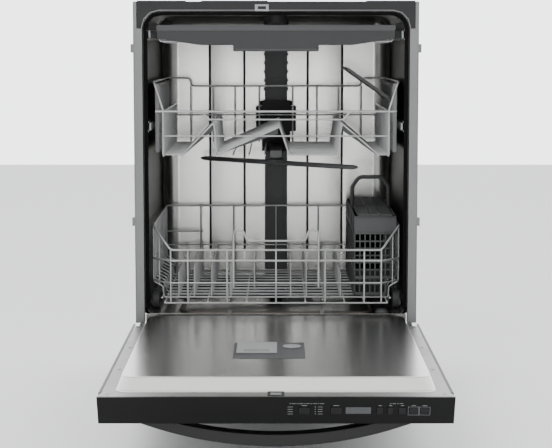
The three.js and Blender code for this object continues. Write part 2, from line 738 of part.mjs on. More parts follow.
function addHingeArms() {
  for (const [side, sign] of Object.entries({ left: -1, right: 1 })) {
    const plate = join(
      rod([hingeArmX, HINGE_Y, HINGE_Z], [hingeArmX + HINGE_ARM_THICK, HINGE_Y, HINGE_Z], 6.2, 16),
      prism(
        [
          [HINGE_Y - 130, DOOR_FACE_Z + 10],
          [HINGE_Y - 8, DOOR_FACE_Z + 10],
          [HINGE_Y + 4, HINGE_Z - 4],
          [HINGE_Y + 4, HINGE_Z + 2],
          [HINGE_Y - 4, HINGE_Z + 4],
          [HINGE_Y - 130, HINGE_Z + 2],
        ],
        "x",
        hingeArmX,
        hingeArmX + HINGE_ARM_THICK,
      ),
    );
    const eye = rod(
      [hingeArmX - 1, HINGE_Y, HINGE_Z],
      [hingeArmX + HINGE_ARM_THICK + 1, HINGE_Y, HINGE_Z],
      HINGE_PIN_RADIUS + SLIP,
    );
    const arm = cut(plate, eye);
    addNode(`hinge_arm_${side}`, sign < 0 ? mirrored(arm) : arm, "galvanised");
  }
}

// Turns a solid made in the face plane's own axes into place on the console.
function onFace(solid) {
  const degrees = THREE.MathUtils.radToDeg(faceTurn);
  return solid.rotate([degrees, 0, 0]).translate(faceMiddle.toArray());
}

function addConsole() {
  const endIn = doorEnd + CONSOLE_LEAN + 7;
  const section = [
    [flangeEnd, FLANGE_Z],
    [doorEnd, FLANGE_Z],
    [doorEnd + CONSOLE_LEAN, DOOR_FACE_Z],
    [endIn, DOOR_FACE_Z],
    [endIn, DOOR_FACE_Z + 4],
    [flangeEnd, FLANGE_Z - 12],
  ];
  const pockets = Object.values(KEYS).map(([x, width]) =>
    onFace(
      box(
        x - width / 2 - SLIP,
        x + width / 2 + SLIP,
        -KEY_HEIGHT / 2 - SLIP,
        KEY_HEIGHT / 2 + SLIP,
        -KEY_POCKET,
        5,
      ),
    ),
  );
  const recess = onFace(
    box(WINDOW[0] - GAP, WINDOW[1] + GAP, -WINDOW_HALF - GAP, WINDOW_HALF + GAP, -2.5, 5),
  );
  const shell = prism(section, "x", -doorHalf, doorHalf);
  addNode("control_console", cut(shell, pockets, recess), "blackPlastic");
  for (const [name, [x, width]] of Object.entries(KEYS)) {
    const key = box(-width / 2, width / 2, -KEY_HEIGHT / 2, KEY_HEIGHT / 2, -3, KEY_PROUD);
    const mesh = addNode(name, key, "blackPlastic");
    mesh.rotation.x = faceTurn;
    mesh.position.copy(faceMiddle).add(new THREE.Vector3(x, 0, 0));
  }
  const lens = box(WINDOW[0], WINDOW[1], -WINDOW_HALF, WINDOW_HALF, -2, 0.3);
  const mesh = addNode("display_window", lens, "lens");
  mesh.rotation.x = faceTurn;
  mesh.position.copy(faceMiddle);
}

// A bow of constant depth whose ends meet the outer panel.
function addHandle() {
  const root = DOOR_FACE_Z - GAP;
  const arc = (half, bow) => {
    const radius = (half * half + bow * bow) / (2 * bow);
    const sweep = Math.asin(half / radius);
    return { centre: root - bow + radius, radius, sweep };
  };
  const outline = new THREE.Shape();
  const outer = arc(HANDLE_HALF, HANDLE_BOW);
  const innerHalf = HANDLE_HALF - 65;
  const inner = arc(innerHalf, HANDLE_BOW - HANDLE_GRIP);
  const down = -Math.PI / 2;
  outline.absarc(0, outer.centre, outer.radius, down - outer.sweep, down + outer.sweep, false);
  outline.absarc(0, inner.centre, inner.radius, down + inner.sweep, down - inner.sweep, true);
  const y = doorEnd + 33;
  addNode("door_handle", prism(outline, "y", y, y + HANDLE_THICK, 14), "blackPaint");
}

// The dispenser's outline, grown on every side, between two heights.
const dispenserBox = (grow, z0, z1) =>
  box(
    DISPENSER_X[0] - grow,
    DISPENSER_X[1] + grow,
    dispenserY[0] - grow,
    dispenserY[1] + grow,
    z0,
    z1,
  );

function addDispenser() {
  const top = PLATEAU_Z + 0.5;
  const cupSpace = box(
    DISPENSER_X[0] + 14,
    DISPENSER_X[0] + 74,
    dispenserY[0] + 45,
    dispenserY[1] - 18,
    top - CUP_DEPTH,
    top + 1,
  );
  const rinseX = DISPENSER_X[1] - 24;
  const rinseY = dispenserY[1] - 45;
  const seat = rod([rinseX, rinseY, top - CAP_RADIUS], [rinseX, rinseY, top + 1], CAP_RADIUS + SLIP, 16);
  const body = cut(dispenserBox(0, top - 28, top), cupSpace, seat);
  addNode("dispenser_body", body, "greyPlastic");
  const lid = box(
    DISPENSER_X[0] + 6,
    DISPENSER_X[0] + 82,
    dispenserY[0] + 41,
    dispenserY[1] - 8,
    top + GAP,
    top + 3,
  );
  addNode("dispenser_lid", lid, "lightPlastic");
  const cap = turned(
    [
      [0, -10],
      [CAP_RADIUS, -10],
      [CAP_RADIUS, 0.4],
      [CAP_RADIUS + 3, 0.4],
      [CAP_RADIUS + 3, 2.6],
      [0, 2.6],
    ],
    0,
    0,
    16,
  );
  const grip = box(-12, 12, -2, 2, 2, 3.6);
  addNode("rinse_cap", join(cap, grip), "lightPlastic").position.set(rinseX, rinseY, top);
}

// A sprung bolt in a small housing behind the console.
function addLatch() {
  const housing = cut(
    box(-LATCH_HALF, LATCH_HALF, latchY0, latchY1, FLANGE_Z - 13, FLANGE_Z + 0.8),
    box(-9.5, 9.5, latchY0 + 6, latchY1 - 6, FLANGE_Z - 14, FLANGE_Z + 2),
  );
  addNode("latch_housing", housing, "blackPlastic");
  const bolt = box(-9, 9, latchY0 + 6.5, latchY0 + 20, FLANGE_Z - 11, FLANGE_Z + 1.2);
  addNode("latch_bolt", bolt, "galvanised");
}

// ---------------------------------------------------------------- lower rack

// A transverse wire: across the floor, out over the wheels and up each side.
function crossWire(y, rimZ) {
  return wire([
    [-rackHalf, y, rimZ],
    [-rackHalf, y, stepZ + 35],
    [-lowerFloorHalf, y, stepZ + 24],
    [-lowerFloorHalf + 2, y, stepZ],
    [lowerFloorHalf - 2, y, stepZ],
    [lowerFloorHalf, y, stepZ + 24],
    [rackHalf, y, stepZ + 35],
    [rackHalf, y, rimZ],
  ]);
}

// A level loop round the rack, chamfered at the front corners; front and side heights may differ.
function rimLoop(frontZ, sideZ, radius) {
  const front = RACK_HOME_Y + 3;
  const rear = lowerRear - 3;
  const nose = rackHalf - LOWER_CORNER;
  return wire(
    [
      [-nose, front, frontZ],
      [nose, front, frontZ],
      [rackHalf, front + LOWER_CORNER, sideZ],
      [rackHalf, rear, sideZ],
      [-rackHalf, rear, sideZ],
      [-rackHalf, front + LOWER_CORNER, sideZ],
      [-nose, front, frontZ],
    ],
    radius,
  );
}

function addLowerRack() {
  const front = RACK_HOME_Y + 3;
  const rear = lowerRear - 3;
  const nose = rackHalf - LOWER_CORNER;
  const crossPlaces = spaced(4, front + LOWER_CORNER + 12, rear - 22);
  const alongPlaces = [-lowerFloorHalf + 4, -105, 0, 105, lowerFloorHalf - 4];
  const floorZ = LOWER_FLOOR_Z - 0.5;
  const riser = (x, y, top) => wire([[x, y, floorZ], [x, y, top]]);
  const along = alongPlaces.map((x) => wire([[x, front, floorZ], [x, rear, floorZ]]));
  const bars = join(
    rimLoop(LOWER_RIM_FRONT_Z, LOWER_RIM_SIDE_Z, RIM),
    rimLoop(295, 300, WIRE),
    along,
    crossPlaces.map((y) => crossWire(y, LOWER_RIM_SIDE_Z)),
    wire([[-nose - 14, front, floorZ], [nose + 14, front, floorZ]]),
    wire([[-lowerFloorHalf, rear, floorZ], [lowerFloorHalf, rear, floorZ]]),
    [-105, 0, 105].map((x) => riser(x, front, LOWER_RIM_FRONT_Z)),
    [-103, 0, 103].map((x) => riser(x, rear, LOWER_RIM_SIDE_Z)),
  );
  const handle = wire([
    [-91, front, 262],
    [-91, front, 384],
    [-70, front, 384],
    [-62, front, 362],
    [62, front, 362],
    [70, front, 384],
    [91, front, 384],
    [91, front, 262],
  ]);
  const tine = (x, y) => wire([[x, y, floorZ], [x, y, LOWER_FLOOR_Z + TINE_HEIGHT]]);
  const fixedRows = FIXED_TINE_X.map((x) =>
    spaced(4, front + 90, rear - 60).map((y) => tine(x, y)),
  );
  const rowWires = FIXED_TINE_X.map((x) => wire([[x, front, floorZ], [x, rear, floorZ]]));
  const stubs = wheelPlaces.map((y) =>
    bothSides(
      join(
        rod(
          [lowerFloorHalf - 6, y, stubZ],
          [wheelX - WHEEL_WIDTH / 2 - SLIP, y, stubZ],
          stubRadius,
          8,
        ),
        rod([lowerFloorHalf - 6, y, axleZ], [wheelX + WHEEL_WIDTH / 2 - 1, y, axleZ], WHEEL_AXLE, 12),
      ),
    ),
  );
  addNode("lower_rack", join(bars, handle, rowWires, fixedRows.flat(), stubs), "rackWire");

  const wheel = turned(
    [
      [WHEEL_AXLE + 0.35, -WHEEL_WIDTH / 2],
      [WHEEL_RADIUS, -WHEEL_WIDTH / 2],
      [WHEEL_RADIUS, WHEEL_WIDTH / 2],
      [WHEEL_AXLE + 0.35, WHEEL_WIDTH / 2],
      [WHEEL_AXLE + 0.35, -WHEEL_WIDTH / 2],
    ],
    0,
    0,
    20,
  );
  for (const [end, y] of Object.entries({ front: wheelPlaces[0], rear: wheelPlaces[1] })) {
    for (const [side, sign] of Object.entries({ left: -1, right: 1 })) {
      const mesh = addNode(`rack_wheel_${end}_${side}`, wheel, "greyPlastic");
      mesh.rotation.y = Math.PI / 2;
      mesh.position.set(sign * wheelX, y, axleZ);
    }
  }

  const pivotZ = LOWER_FLOOR_Z + 8;
  const foldRows = spaced(TINE_COUNT, -tineSpan / 2, tineSpan / 2);
  const foldTines = join(
    wire([[0, -tineSpan / 2 - 8, 0], [0, tineSpan / 2 + 8, 0]], 2.4, 6),
    foldRows.map((y) => wire([[0, y, 0], [0, y, TINE_HEIGHT - 8]], WIRE, 4)),
  );
  const mesh = addNode("fold_down_tines", foldTines, "rackWire");
  mesh.position.set(TINE_X, (front + rear) / 2, pivotZ);
}

function addBasket() {
  const middle = (basketFront + basketRear) / 2;
  const outer = join(
    box(basketLeft, basketStepX, basketFront, basketRear, basketBottom, BASKET_TOP - 1),
    box(basketLeft, basketRight, basketFront, basketRear, basketStepZ, BASKET_TOP),
  );
  const cells = spaced(4, basketFront, basketRear);
  const hollow = (y0, y1, right, bottom) =>
    box(basketLeft + BASKET_WALL, right - BASKET_WALL, y0, y1, bottom + BASKET_WALL, BASKET_TOP + 1);
  const hollows = cells.slice(1).flatMap((y, i) => [
    hollow(cells[i] + BASKET_WALL, y - BASKET_WALL / 2, basketStepX, basketBottom),
    hollow(cells[i] + BASKET_WALL, y - BASKET_WALL / 2, basketRight, basketStepZ),
  ]);
  const grip = 5;
  const postLeft = basketLeft + grip;
  const postRight = basketRight - grip;
  const handle = wire(
    [
      [postLeft, middle, BASKET_TOP - 30],
      [postLeft, middle, BASKET_HANDLE_TOP - 26],
      [postLeft + 14, middle, BASKET_HANDLE_TOP - grip],
      [postRight - 14, middle, BASKET_HANDLE_TOP - grip],
      [postRight, middle, BASKET_HANDLE_TOP - 26],
      [postRight, middle, BASKET_TOP - 30],
    ],
    grip,
    8,
  );
  const lid = (y0, y1, z0) => {
    const panel = box(lidX - 2, basketRight - 7, y0, y1, z0, BASKET_TOP + 4);
    const slots = spaced(5, y0 + 18, y1 - 18).map((y) =>
      box(lidX + 10, basketRight - 18, y - 4, y + 4, BASKET_TOP - 1, BASKET_TOP + 5),
    );
    return cut(panel, slots);
  };
  const fixedLid = lid(middle + 10, basketRear - 4, BASKET_TOP - 0.5);
  addNode("cutlery_basket", join(cut(outer, hollows), handle, fixedLid), "greyPlastic");
  addNode("basket_lid", lid(basketFront + 4, middle - 10, BASKET_TOP + 0.6), "greyPlastic");
}

// ---------------------------------------------------------------- upper rack

// Across the rack the floor rises into two ridges that cups lean on.
function ridgedWire(y, rimZ) {
  const f = UPPER_FLOOR_Z;
  const half = upperHalf - 22;
  return wire([
    [-half, y, rimZ],
    [-half, y, f],
    [-199, y, f],
    [-132, y, f + 68],
    [-126, y, f],
    [8, y, f + 59],
    [28, y, f],
    [130, y, f],
    [140, y, f + 66],
    [half - 26, y, f],
    [half, y, f],
    [half, y, rimZ],
  ]);
}

function addUpperRack() {
  const front = RACK_HOME_Y + 3;
  const rear = upperRear - 3;
  const half = upperHalf - 22;
  const floorZ = UPPER_FLOOR_Z - 2.5;
  const crossPlaces = spaced(3, front, rear);
  const sideRim = bothSides(
    wire(
      [
        [half, front, UPPER_FRONT_Z],
        [upperHalf - 2, front + 12, UPPER_RIM_Z],
        [upperHalf - 2, rear, UPPER_RIM_Z],
      ],
      RIM,
    ),
  );
  const cornerIn = 204;
  const rearRim = wire(
    [
      [-upperHalf + 2, rear, UPPER_RIM_Z],
      [-cornerIn, rear, UPPER_RIM_Z],
      [-cornerIn, rear, UPPER_RIM_Z - 20],
      [cornerIn, rear, UPPER_RIM_Z - 20],
      [cornerIn, rear, UPPER_RIM_Z],
      [upperHalf - 2, rear, UPPER_RIM_Z],
    ],
    RIM,
  );
  const bars = join(
    sideRim,
    rearRim,
    crossPlaces.map((y) => ridgedWire(y, UPPER_FRONT_Z)),
    [-half, -126, 28, 130, half].map((x) =>
      wire([[x, front, floorZ], [x, rear, floorZ]]),
    ),
    wire([[-upperHalf + 2, front, UPPER_FRONT_Z], [upperHalf - 2, front, UPPER_FRONT_Z]], RIM),
    wire([[-half - 2, front, 586], [half + 2, front, 586]]),
    wire([
      [-158, front, UPPER_FRONT_Z],
      [-142, front, 621],
      [142, front, 621],
      [158, front, UPPER_FRONT_Z],
    ]),
    bothSides(wire([[half, front, UPPER_FRONT_Z], [half, rear, UPPER_FRONT_Z]])),
    [-cornerIn, -40, 40, cornerIn].map((x) =>
      wire([[x, rear, floorZ + 2], [x, rear, UPPER_RIM_Z - 20]]),
    ),
  );
  addNode("upper_rack", bars, "rackWire");
  addNode("upper_arm_feed", upperFeed(rear), "greyPlastic");
  for (const [side, sign] of Object.entries({ left: -1, right: 1 })) {
    const x1 = upperHalf + 0.5;
    const x0 = x1 - ADJUSTER_THICK;
    const plate = cut(
      box(x0, x1, front + 60, rear - 40, UPPER_FLOOR_Z, UPPER_RIM_Z - 3.5),
      box(x0 - 1, x1 + 1, front + 100, front + 190, UPPER_FLOOR_Z + 40, UPPER_FLOOR_Z + 60),
      box(x0 - 1, x1 + 1, rear - 190, rear - 80, UPPER_FLOOR_Z + 40, UPPER_FLOOR_Z + 60),
    );
    addNode(`rack_adjuster_${side}`, sign < 0 ? mirrored(plate) : plate, "lightPlastic");
  }
  const arm = addNode("upper_spray_arm", sprayArm(upperReach), "greyPlastic");
  arm.position.set(0, hubY, UPPER_ARM_Z);
  arm.rotation.z = THREE.MathUtils.degToRad(UPPER_ARM_ANGLE);

  const slots = [0.25, 0.5, 0.75].map((share) =>
    box(-SHELF_LENGTH + 30, -30, share * SHELF_DEPTH - 12, share * SHELF_DEPTH + 12, -1, SHELF_THICK + 1),
  );
  const shelf = cut(
    join(
      box(-SHELF_LENGTH, 0, 0, SHELF_DEPTH, 0, SHELF_THICK),
      rod([0, 0, 1.7], [0, SHELF_DEPTH, 1.7], 4, 8),
    ),
    slots,
  );
  const mesh = addNode("cup_shelf", shelf, "greyPlastic");
  mesh.position.set(shelfX, front + 75, SHELF_Z);
  mesh.rotation.y = THREE.MathUtils.degToRad(SHELF_TILT);
}

// The pipe under the upper rack's floor ends in a pin for the arm and clears the docking port.
function upperFeed(rear) {
  const top = UPPER_ARM_Z + ARM_HEIGHT;
  return join(
    box(-PIPE_HALF, PIPE_HALF, hubY - 20, rear + 8, pipeZ - 8, pipeZ + 8.5),
    rod([0, hubY, top + 1], [0, hubY, pipeZ], 14, 12),
    rod([0, hubY, UPPER_ARM_Z - 2], [0, hubY, top + 2], ARM_PIN, 12),
    rod([0, hubY, UPPER_ARM_Z - 4], [0, hubY, UPPER_ARM_Z - SLIP], 10, 12),
  );
}

// ---------------------------------------------------------------- third rack and rails

function addThirdRack() {
  const half = thirdHalf;
  const trim = [
    [-half, thirdTop],
    [-half, thirdTop - 28],
    [-160, thirdTop - 42],
    [-90, thirdTop - 42],
    [-90, thirdTop - 55],
    [90, thirdTop - 55],
    [90, thirdTop - 42],
    [160, thirdTop - 42],
    [half, thirdTop - 28],
    [half, thirdTop],
  ];
  const trimY = THIRD_TRIM_Y;
  addNode("third_rack_trim", prism(trim, "y", trimY, trimY + 5), "greyPlastic");
  const y0 = trimY + 5 + GAP;
  const y1 = trimY + THIRD_DEPTH;
  const floorZ = thirdTop - 36;
  const rim = thirdTop - 6;
  const rimFront = y0 + 2.5;
  const rimPoints = [
    [-half, rimFront, rim],
    [half, rimFront, rim],
    [half, y1, rim],
    [-half, y1, rim],
    [-half, rimFront, rim],
  ];
  const bars = join(
    wire(rimPoints, RIM),
    spaced(6, -half + 14, half - 14).map((x) => wire([[x, y0 + 4, floorZ], [x, y1, floorZ]])),
    spaced(3, y0 + 4, y1).map((y) =>
      wire([
        [-half, y, rim],
        [-half + 6, y, floorZ + 2],
        [half - 6, y, floorZ + 2],
        [half, y, rim],
      ]),
    ),
  );
  addNode("third_rack", bars, "rackWire");
}

// The moving half of each extending rail, beside its rack.
function addRails() {
  for (const [name, z] of Object.entries(railLevels)) {
    const slide = box(railX - RAIL_THICK, railX, railFront, railFront + RAIL_LENGTH, z - 8, z + 8);
    addNode(`${name}_slide_left`, mirrored(slide), "galvanised");
    addNode(`${name}_slide_right`, slide, "galvanised");
  }
}

// ---------------------------------------------------------------- assembly

addTub();
addFrontFrame();
addGasket();
addBase();
addLegs();
addToePanel();
addSump();
addServices();
addWaterColumn();
addLowerArm();
addDoorPanels();
addHingeArms();
addConsole();
addHandle();
addDispenser();
addLatch();
addLowerRack();
addBasket();
addUpperRack();
addThirdRack();
addRails();

const dishwasher = new THREE.Group();
dishwasher.add(machine);

export default dishwasher;
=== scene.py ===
"""Built-in dishwasher with its door lowered: tub, door, racks, spray arms, basket and running gear."""

import logging
import math
from collections.abc import Iterable, Sequence
from dataclasses import dataclass, field
from enum import Enum

import bmesh
import bpy
from mathutils import Matrix, Vector


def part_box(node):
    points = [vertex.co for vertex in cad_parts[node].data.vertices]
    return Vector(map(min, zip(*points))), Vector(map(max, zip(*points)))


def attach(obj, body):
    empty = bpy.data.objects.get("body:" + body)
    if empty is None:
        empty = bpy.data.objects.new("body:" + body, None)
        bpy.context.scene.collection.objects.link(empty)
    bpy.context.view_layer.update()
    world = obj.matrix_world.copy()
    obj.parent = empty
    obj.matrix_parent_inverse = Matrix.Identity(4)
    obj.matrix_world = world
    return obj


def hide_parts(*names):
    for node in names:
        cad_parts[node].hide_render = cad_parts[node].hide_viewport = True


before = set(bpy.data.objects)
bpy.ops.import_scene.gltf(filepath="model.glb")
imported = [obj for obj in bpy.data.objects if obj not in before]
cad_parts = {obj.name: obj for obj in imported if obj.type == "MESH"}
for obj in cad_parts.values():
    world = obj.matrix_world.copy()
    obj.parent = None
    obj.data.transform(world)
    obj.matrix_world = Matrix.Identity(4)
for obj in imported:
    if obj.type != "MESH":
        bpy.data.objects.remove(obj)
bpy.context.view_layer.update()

MM = 0.001
LOG = logging.getLogger("dishwasher")

Point = tuple[float, float, float]
Route = Sequence[Point]


# ---------------------------------------------------------------- colours and shader nodes


def linear(code: str, alpha: float = 1.0) -> tuple[float, float, float, float]:
    """Turns an sRGB hex colour into linear values.

    Args:
        code: Six hex digits, such as "c8c8c8".
        alpha: Opacity.

    Returns:
        Linear red, green and blue with the opacity.
    """
    channels = [int(code[i : i + 2], 16) / 255 for i in (0, 2, 4)]
    values = [c / 12.92 if c <= 0.04045 else ((c + 0.055) / 1.055) ** 2.4 for c in channels]
    return values[0], values[1], values[2], alpha


def add_node(
    tree: bpy.types.NodeTree,
    kind: str,
    settings: dict[str, object] | None = None,
    inputs: dict[str | int, object] | None = None,
) -> bpy.types.Node:
    """Adds a node with its settings and links.

    Args:
        tree: Shader or geometry node tree.
        kind: Type name of the node.
        settings: Properties of the node.
        inputs: Socket name or number to a value, or to the output socket that feeds it.

    Returns:
        The new node.
    """
    node = tree.nodes.new(kind)
    for name, value in (settings or {}).items():
        setattr(node, name, value)
    for key, value in (inputs or {}).items():
        if isinstance(value, bpy.types.NodeSocket):
            tree.links.new(value, node.inputs[key])
        else:
            node.inputs[key].default_value = value
    return node


class Grain(Enum):
    """How a surface's fine texture runs."""

    EVEN = (1.0, 1.0, 1.0)
    ALONG_X = (0.03, 1.0, 1.0)
    ALONG_Y = (1.0, 0.03, 1.0)
    ALONG_Z = (1.0, 1.0, 0.03)


@dataclass(frozen=True)
class Finish:
    """A surface: what it is made of and how that was finished.

    grain_mm is the size of the fine texture and cloud_mm that of slow changes of tone.
    """

    name: str
    base: str
    tint: str
    roughness: float
    rough_spread: float
    grain_mm: float
    bump_mm: float
    metallic: float = 0.0
    cloud_mm: float = 90.0
    grain: Grain = Grain.EVEN
    coat: float = 0.0
    ior: float = 1.5
    speckle: str = ""
    speckle_mm: float = 1.2

    def material(self) -> bpy.types.Material:
        """Builds the material, or returns the one already made.

        Returns:
            The procedural material.
        """
        made = bpy.data.materials.get(self.name)
        if made:
            return made
        made = bpy.data.materials.new(self.name)
        made.use_nodes = True
        tree = made.node_tree
        shader = tree.nodes["Principled BSDF"]
        shader.inputs["Metallic"].default_value = self.metallic
        shader.inputs["IOR"].default_value = self.ior
        shader.inputs["Coat Weight"].default_value = self.coat
        shader.inputs["Coat Roughness"].default_value = 0.08
        place = add_node(tree, "ShaderNodeTexCoord").outputs["Object"]
        stretched = add_node(
            tree,
            "ShaderNodeMapping",
            inputs={"Vector": place, "Scale": Vector(self.grain.value)},
        ).outputs["Vector"]
        fine = add_node(
            tree,
            "ShaderNodeTexNoise",
            inputs={"Vector": stretched, "Scale": 1 / (self.grain_mm * MM), "Detail": 4.0},
        ).outputs["Fac"]
        cloud = add_node(
            tree,
            "ShaderNodeTexNoise",
            inputs={"Vector": place, "Scale": 1 / (self.cloud_mm * MM), "Detail": 3.0},
        ).outputs["Fac"]
        both = add_node(
            tree,
            "ShaderNodeMath",
            {"operation": "MULTIPLY_ADD"},
            {0: fine, 1: 0.55, 2: cloud},
        ).outputs[0]
        share = add_node(
            tree,
            "ShaderNodeMapRange",
            inputs={"Value": both, "From Min": 0.45, "From Max": 1.1},
        ).outputs["Result"]
        colour = add_node(
            tree,
            "ShaderNodeMix",
            {"data_type": "RGBA"},
            {0: share, 6: linear(self.base), 7: linear(self.tint)},
        ).outputs[2]
        if self.speckle:
            colour = self._speckled(tree, place, colour)
        rough = add_node(
            tree,
            "ShaderNodeMapRange",
            inputs={
                "Value": both,
                "From Min": 0.4,
                "From Max": 1.15,
                "To Min": max(0.03, self.roughness - self.rough_spread),
                "To Max": self.roughness + self.rough_spread,
            },
        ).outputs["Result"]
        bump = add_node(
            tree,
            "ShaderNodeBump",
            inputs={"Height": fine, "Strength": 0.6, "Distance": self.bump_mm * MM},
        ).outputs["Normal"]
        for socket, value in (("Base Color", colour), ("Roughness", rough), ("Normal", bump)):
            tree.links.new(value, shader.inputs[socket])
        return made

    def _speckled(
        self,
        tree: bpy.types.NodeTree,
        place: bpy.types.NodeSocket,
        colour: bpy.types.NodeSocket,
    ) -> bpy.types.NodeSocket:
        """Scatters small flecks over a colour and returns the result's socket."""
        cells = add_node(
            tree,
            "ShaderNodeTexVoronoi",
            inputs={"Vector": place, "Scale": 1 / (self.speckle_mm * MM)},
        ).outputs["Distance"]
        fleck = add_node(
            tree,
            "ShaderNodeMapRange",
            inputs={"Value": cells, "From Min": 0.22, "From Max": 0.34, "To Min": 1.0, "To Max": 0.0},
        ).outputs["Result"]
        return add_node(
            tree,
            "ShaderNodeMix",
            {"data_type": "RGBA"},
            {0: fleck, 6: colour, 7: linear(self.speckle)},
        ).outputs[2]


# Ferritic stainless sheet, belt brushed: strokes 1.5 mm apart are drawn coarse enough to show.
TUB_STEEL = Finish(
    "brushed_stainless_tub", "b0b0ad", "bdbdba", 0.26, 0.015, 1.6, 0.0012,
    metallic=1.0, grain=Grain.ALONG_X, cloud_mm=260,
)
# The tub's side walls take the same steel painted darker as shade, with a duller, rougher surface.
SHADED_WALL_STEEL = Finish(
    "stainless_wall_painted_shade", "5c5c5a", "6a6a68", 0.36, 0.04, 1.6, 0.003,
    metallic=1.0, cloud_mm=200,
)
# The door's inner skin has a finer satin, its strokes running across the door.
DOOR_STEEL = Finish(
    "satin_stainless_door", "b4b4b1", "bfbfbc", 0.24, 0.02, 1.2, 0.0015,
    metallic=1.0, grain=Grain.ALONG_X, cloud_mm=240,
)
# Uncoated edge of the door's inner sheet, with a visible spangle.
FLANGE_STEEL = Finish(
    "spangled_steel_flange", "777775", "8c8c8a", 0.42, 0.08, 2.0, 0.02,
    metallic=0.85, cloud_mm=25, speckle="8e8e8c", speckle_mm=3.0,
)
# Epoxy powder coat on the frame's strips: fine orange peel.
FRAME_COAT = Finish("powder_coat_grey", "7a7b7c", "858686", 0.45, 0.06, 1.4, 0.03, metallic=0.25)
HEADER_COAT = Finish("powder_coat_dark", "2b2b2c", "333334", 0.45, 0.06, 1.4, 0.03, ior=1.3)
# EPDM seal: dull black with a bloom of paler dust.
SEAL_RUBBER = Finish("epdm_seal", "030303", "080808", 0.7, 0.1, 0.9, 0.03, ior=1.25)
# Zinc plate: cold grey with soft blotches.
ZINC = Finish("zinc_plate", "8c9092", "a3a6a7", 0.42, 0.1, 2.5, 0.02, metallic=0.9, cloud_mm=22)
# Alloy tube that has been red hot: brown to blue-grey tints.
HEATER_TUBE = Finish("heat_tinted_tube", "54504c", "6a625a", 0.4, 0.1, 1.5, 0.02, metallic=0.8, cloud_mm=40)
# Gloss stoved enamel of the door's outer skin and handle.
BLACK_ENAMEL = Finish("black_enamel", "010101", "020202", 0.22, 0.04, 3.0, 0.006, ior=1.1)
# Polypropylene mouldings with a fine spark-eroded grain.
BLACK_PP = Finish("black_polypropylene", "0c0c0c", "141414", 0.5, 0.08, 0.7, 0.03, ior=1.35)
GREY_PP = Finish("dark_grey_polypropylene", "424344", "4d4e4f", 0.5, 0.08, 0.8, 0.03)
ARM_PP = Finish("spray_arm_polypropylene", "464748", "525354", 0.42, 0.06, 0.8, 0.02)
TRIM_PP = Finish("rack_trim_polypropylene", "333435", "3c3d3d", 0.42, 0.06, 0.8, 0.02, ior=1.35)
BAND_PP = Finish("rack_band_polypropylene", "464748", "505152", 0.42, 0.06, 0.8, 0.02, ior=1.35)
LIGHT_PP = Finish("light_grey_polypropylene", "868788", "949595", 0.45, 0.07, 0.8, 0.02)
# ABS console with a satin grain, and glossier key tops.
CONSOLE_ABS = Finish("console_abs", "0b0b0c", "101011", 0.34, 0.05, 0.6, 0.01, ior=1.25)
KEY_ABS = Finish("key_abs", "161617", "1c1c1e", 0.28, 0.05, 0.6, 0.008, ior=1.3)
LEGEND_INK = Finish("legend_ink", "8e9092", "9c9ea0", 0.5, 0.05, 0.5, 0.005)
WINDOW_ACRYLIC = Finish("smoked_acrylic", "2c3034", "363a3e", 0.1, 0.03, 4.0, 0.004, coat=0.8)
# Nylon dip over steel wire: pale silver grey, slightly wavy gloss.
RACK_NYLON = Finish("nylon_coated_wire", "a9aaab", "c4c5c5", 0.3, 0.06, 2.2, 0.02, metallic=0.35, coat=0.3)
# Bitumen and felt blanket round the tub: soft, fibrous, dark.
BLANKET_FELT = Finish("bitumen_felt", "2e2f30", "3d3e3f", 0.92, 0.05, 1.1, 0.15, cloud_mm=35)
# Shadow colour inside pressed grooves, jets and slots.
GROOVE_DARK = Finish("groove_shadow", "191919", "222222", 0.6, 0.1, 1.0, 0.01)
STUDIO_FLOOR = Finish("studio_floor_paint", "f2f2f2", "f5f5f5", 0.6, 0.05, 30.0, 0.001)


# ---------------------------------------------------------------- meshes


def new_object(name: str, data: bpy.types.ID) -> bpy.types.Object:
    """Puts new data in the scene under a name and returns its object."""
    piece = bpy.data.objects.new(name, data)
    bpy.context.scene.collection.objects.link(piece)
    return piece


def mesh_object(name: str, shape: bmesh.types.BMesh, smooth: bool = True) -> bpy.types.Object:
    """Turns a bmesh into an object, its faces outwards.

    Args:
        name: Name of the piece.
        shape: The finished bmesh, which is freed.
        smooth: Whether its faces are shaded smooth.

    Returns:
        The new object at the origin.
    """
    bmesh.ops.remove_doubles(shape, verts=shape.verts, dist=1e-6)
    bmesh.ops.recalc_face_normals(shape, faces=shape.faces)
    for face in shape.faces:
        face.smooth = smooth
    mesh = bpy.data.meshes.new(name)
    shape.to_mesh(mesh)
    shape.free()
    return new_object(name, mesh)


def settle(piece: bpy.types.Object) -> bpy.types.Object:
    """Turns a piece with its modifiers into a plain mesh, modifiers removed.

    Args:
        piece: A mesh or curve object at the origin.

    Returns:
        The mesh object that takes its place.
    """
    bpy.context.view_layer.update()
    seen = piece.evaluated_get(bpy.context.evaluated_depsgraph_get())
    mesh = bpy.data.meshes.new_from_object(seen)
    name = piece.name
    bpy.data.objects.remove(piece)
    result = new_object(name, mesh)
    mesh.name = name
    return result


def bevelled(piece: bpy.types.Object, width_mm: float, segments: int = 2) -> bpy.types.Object:
    """Gives a piece rounded edges and smooth shading that keeps its flats flat.

    Args:
        piece: A mesh object.
        width_mm: Width of the rounding.
        segments: Faces across it.

    Returns:
        The same object.
    """
    weld = piece.modifiers.new("Weld", "WELD")
    weld.merge_threshold = 1e-5
    bevel = piece.modifiers.new("Bevel", "BEVEL")
    bevel.width = width_mm * MM
    bevel.segments = segments
    bevel.limit_method = "ANGLE"
    bevel.angle_limit = math.radians(38)
    bevel.harden_normals = True
    bevel.use_clamp_overlap = True
    return piece


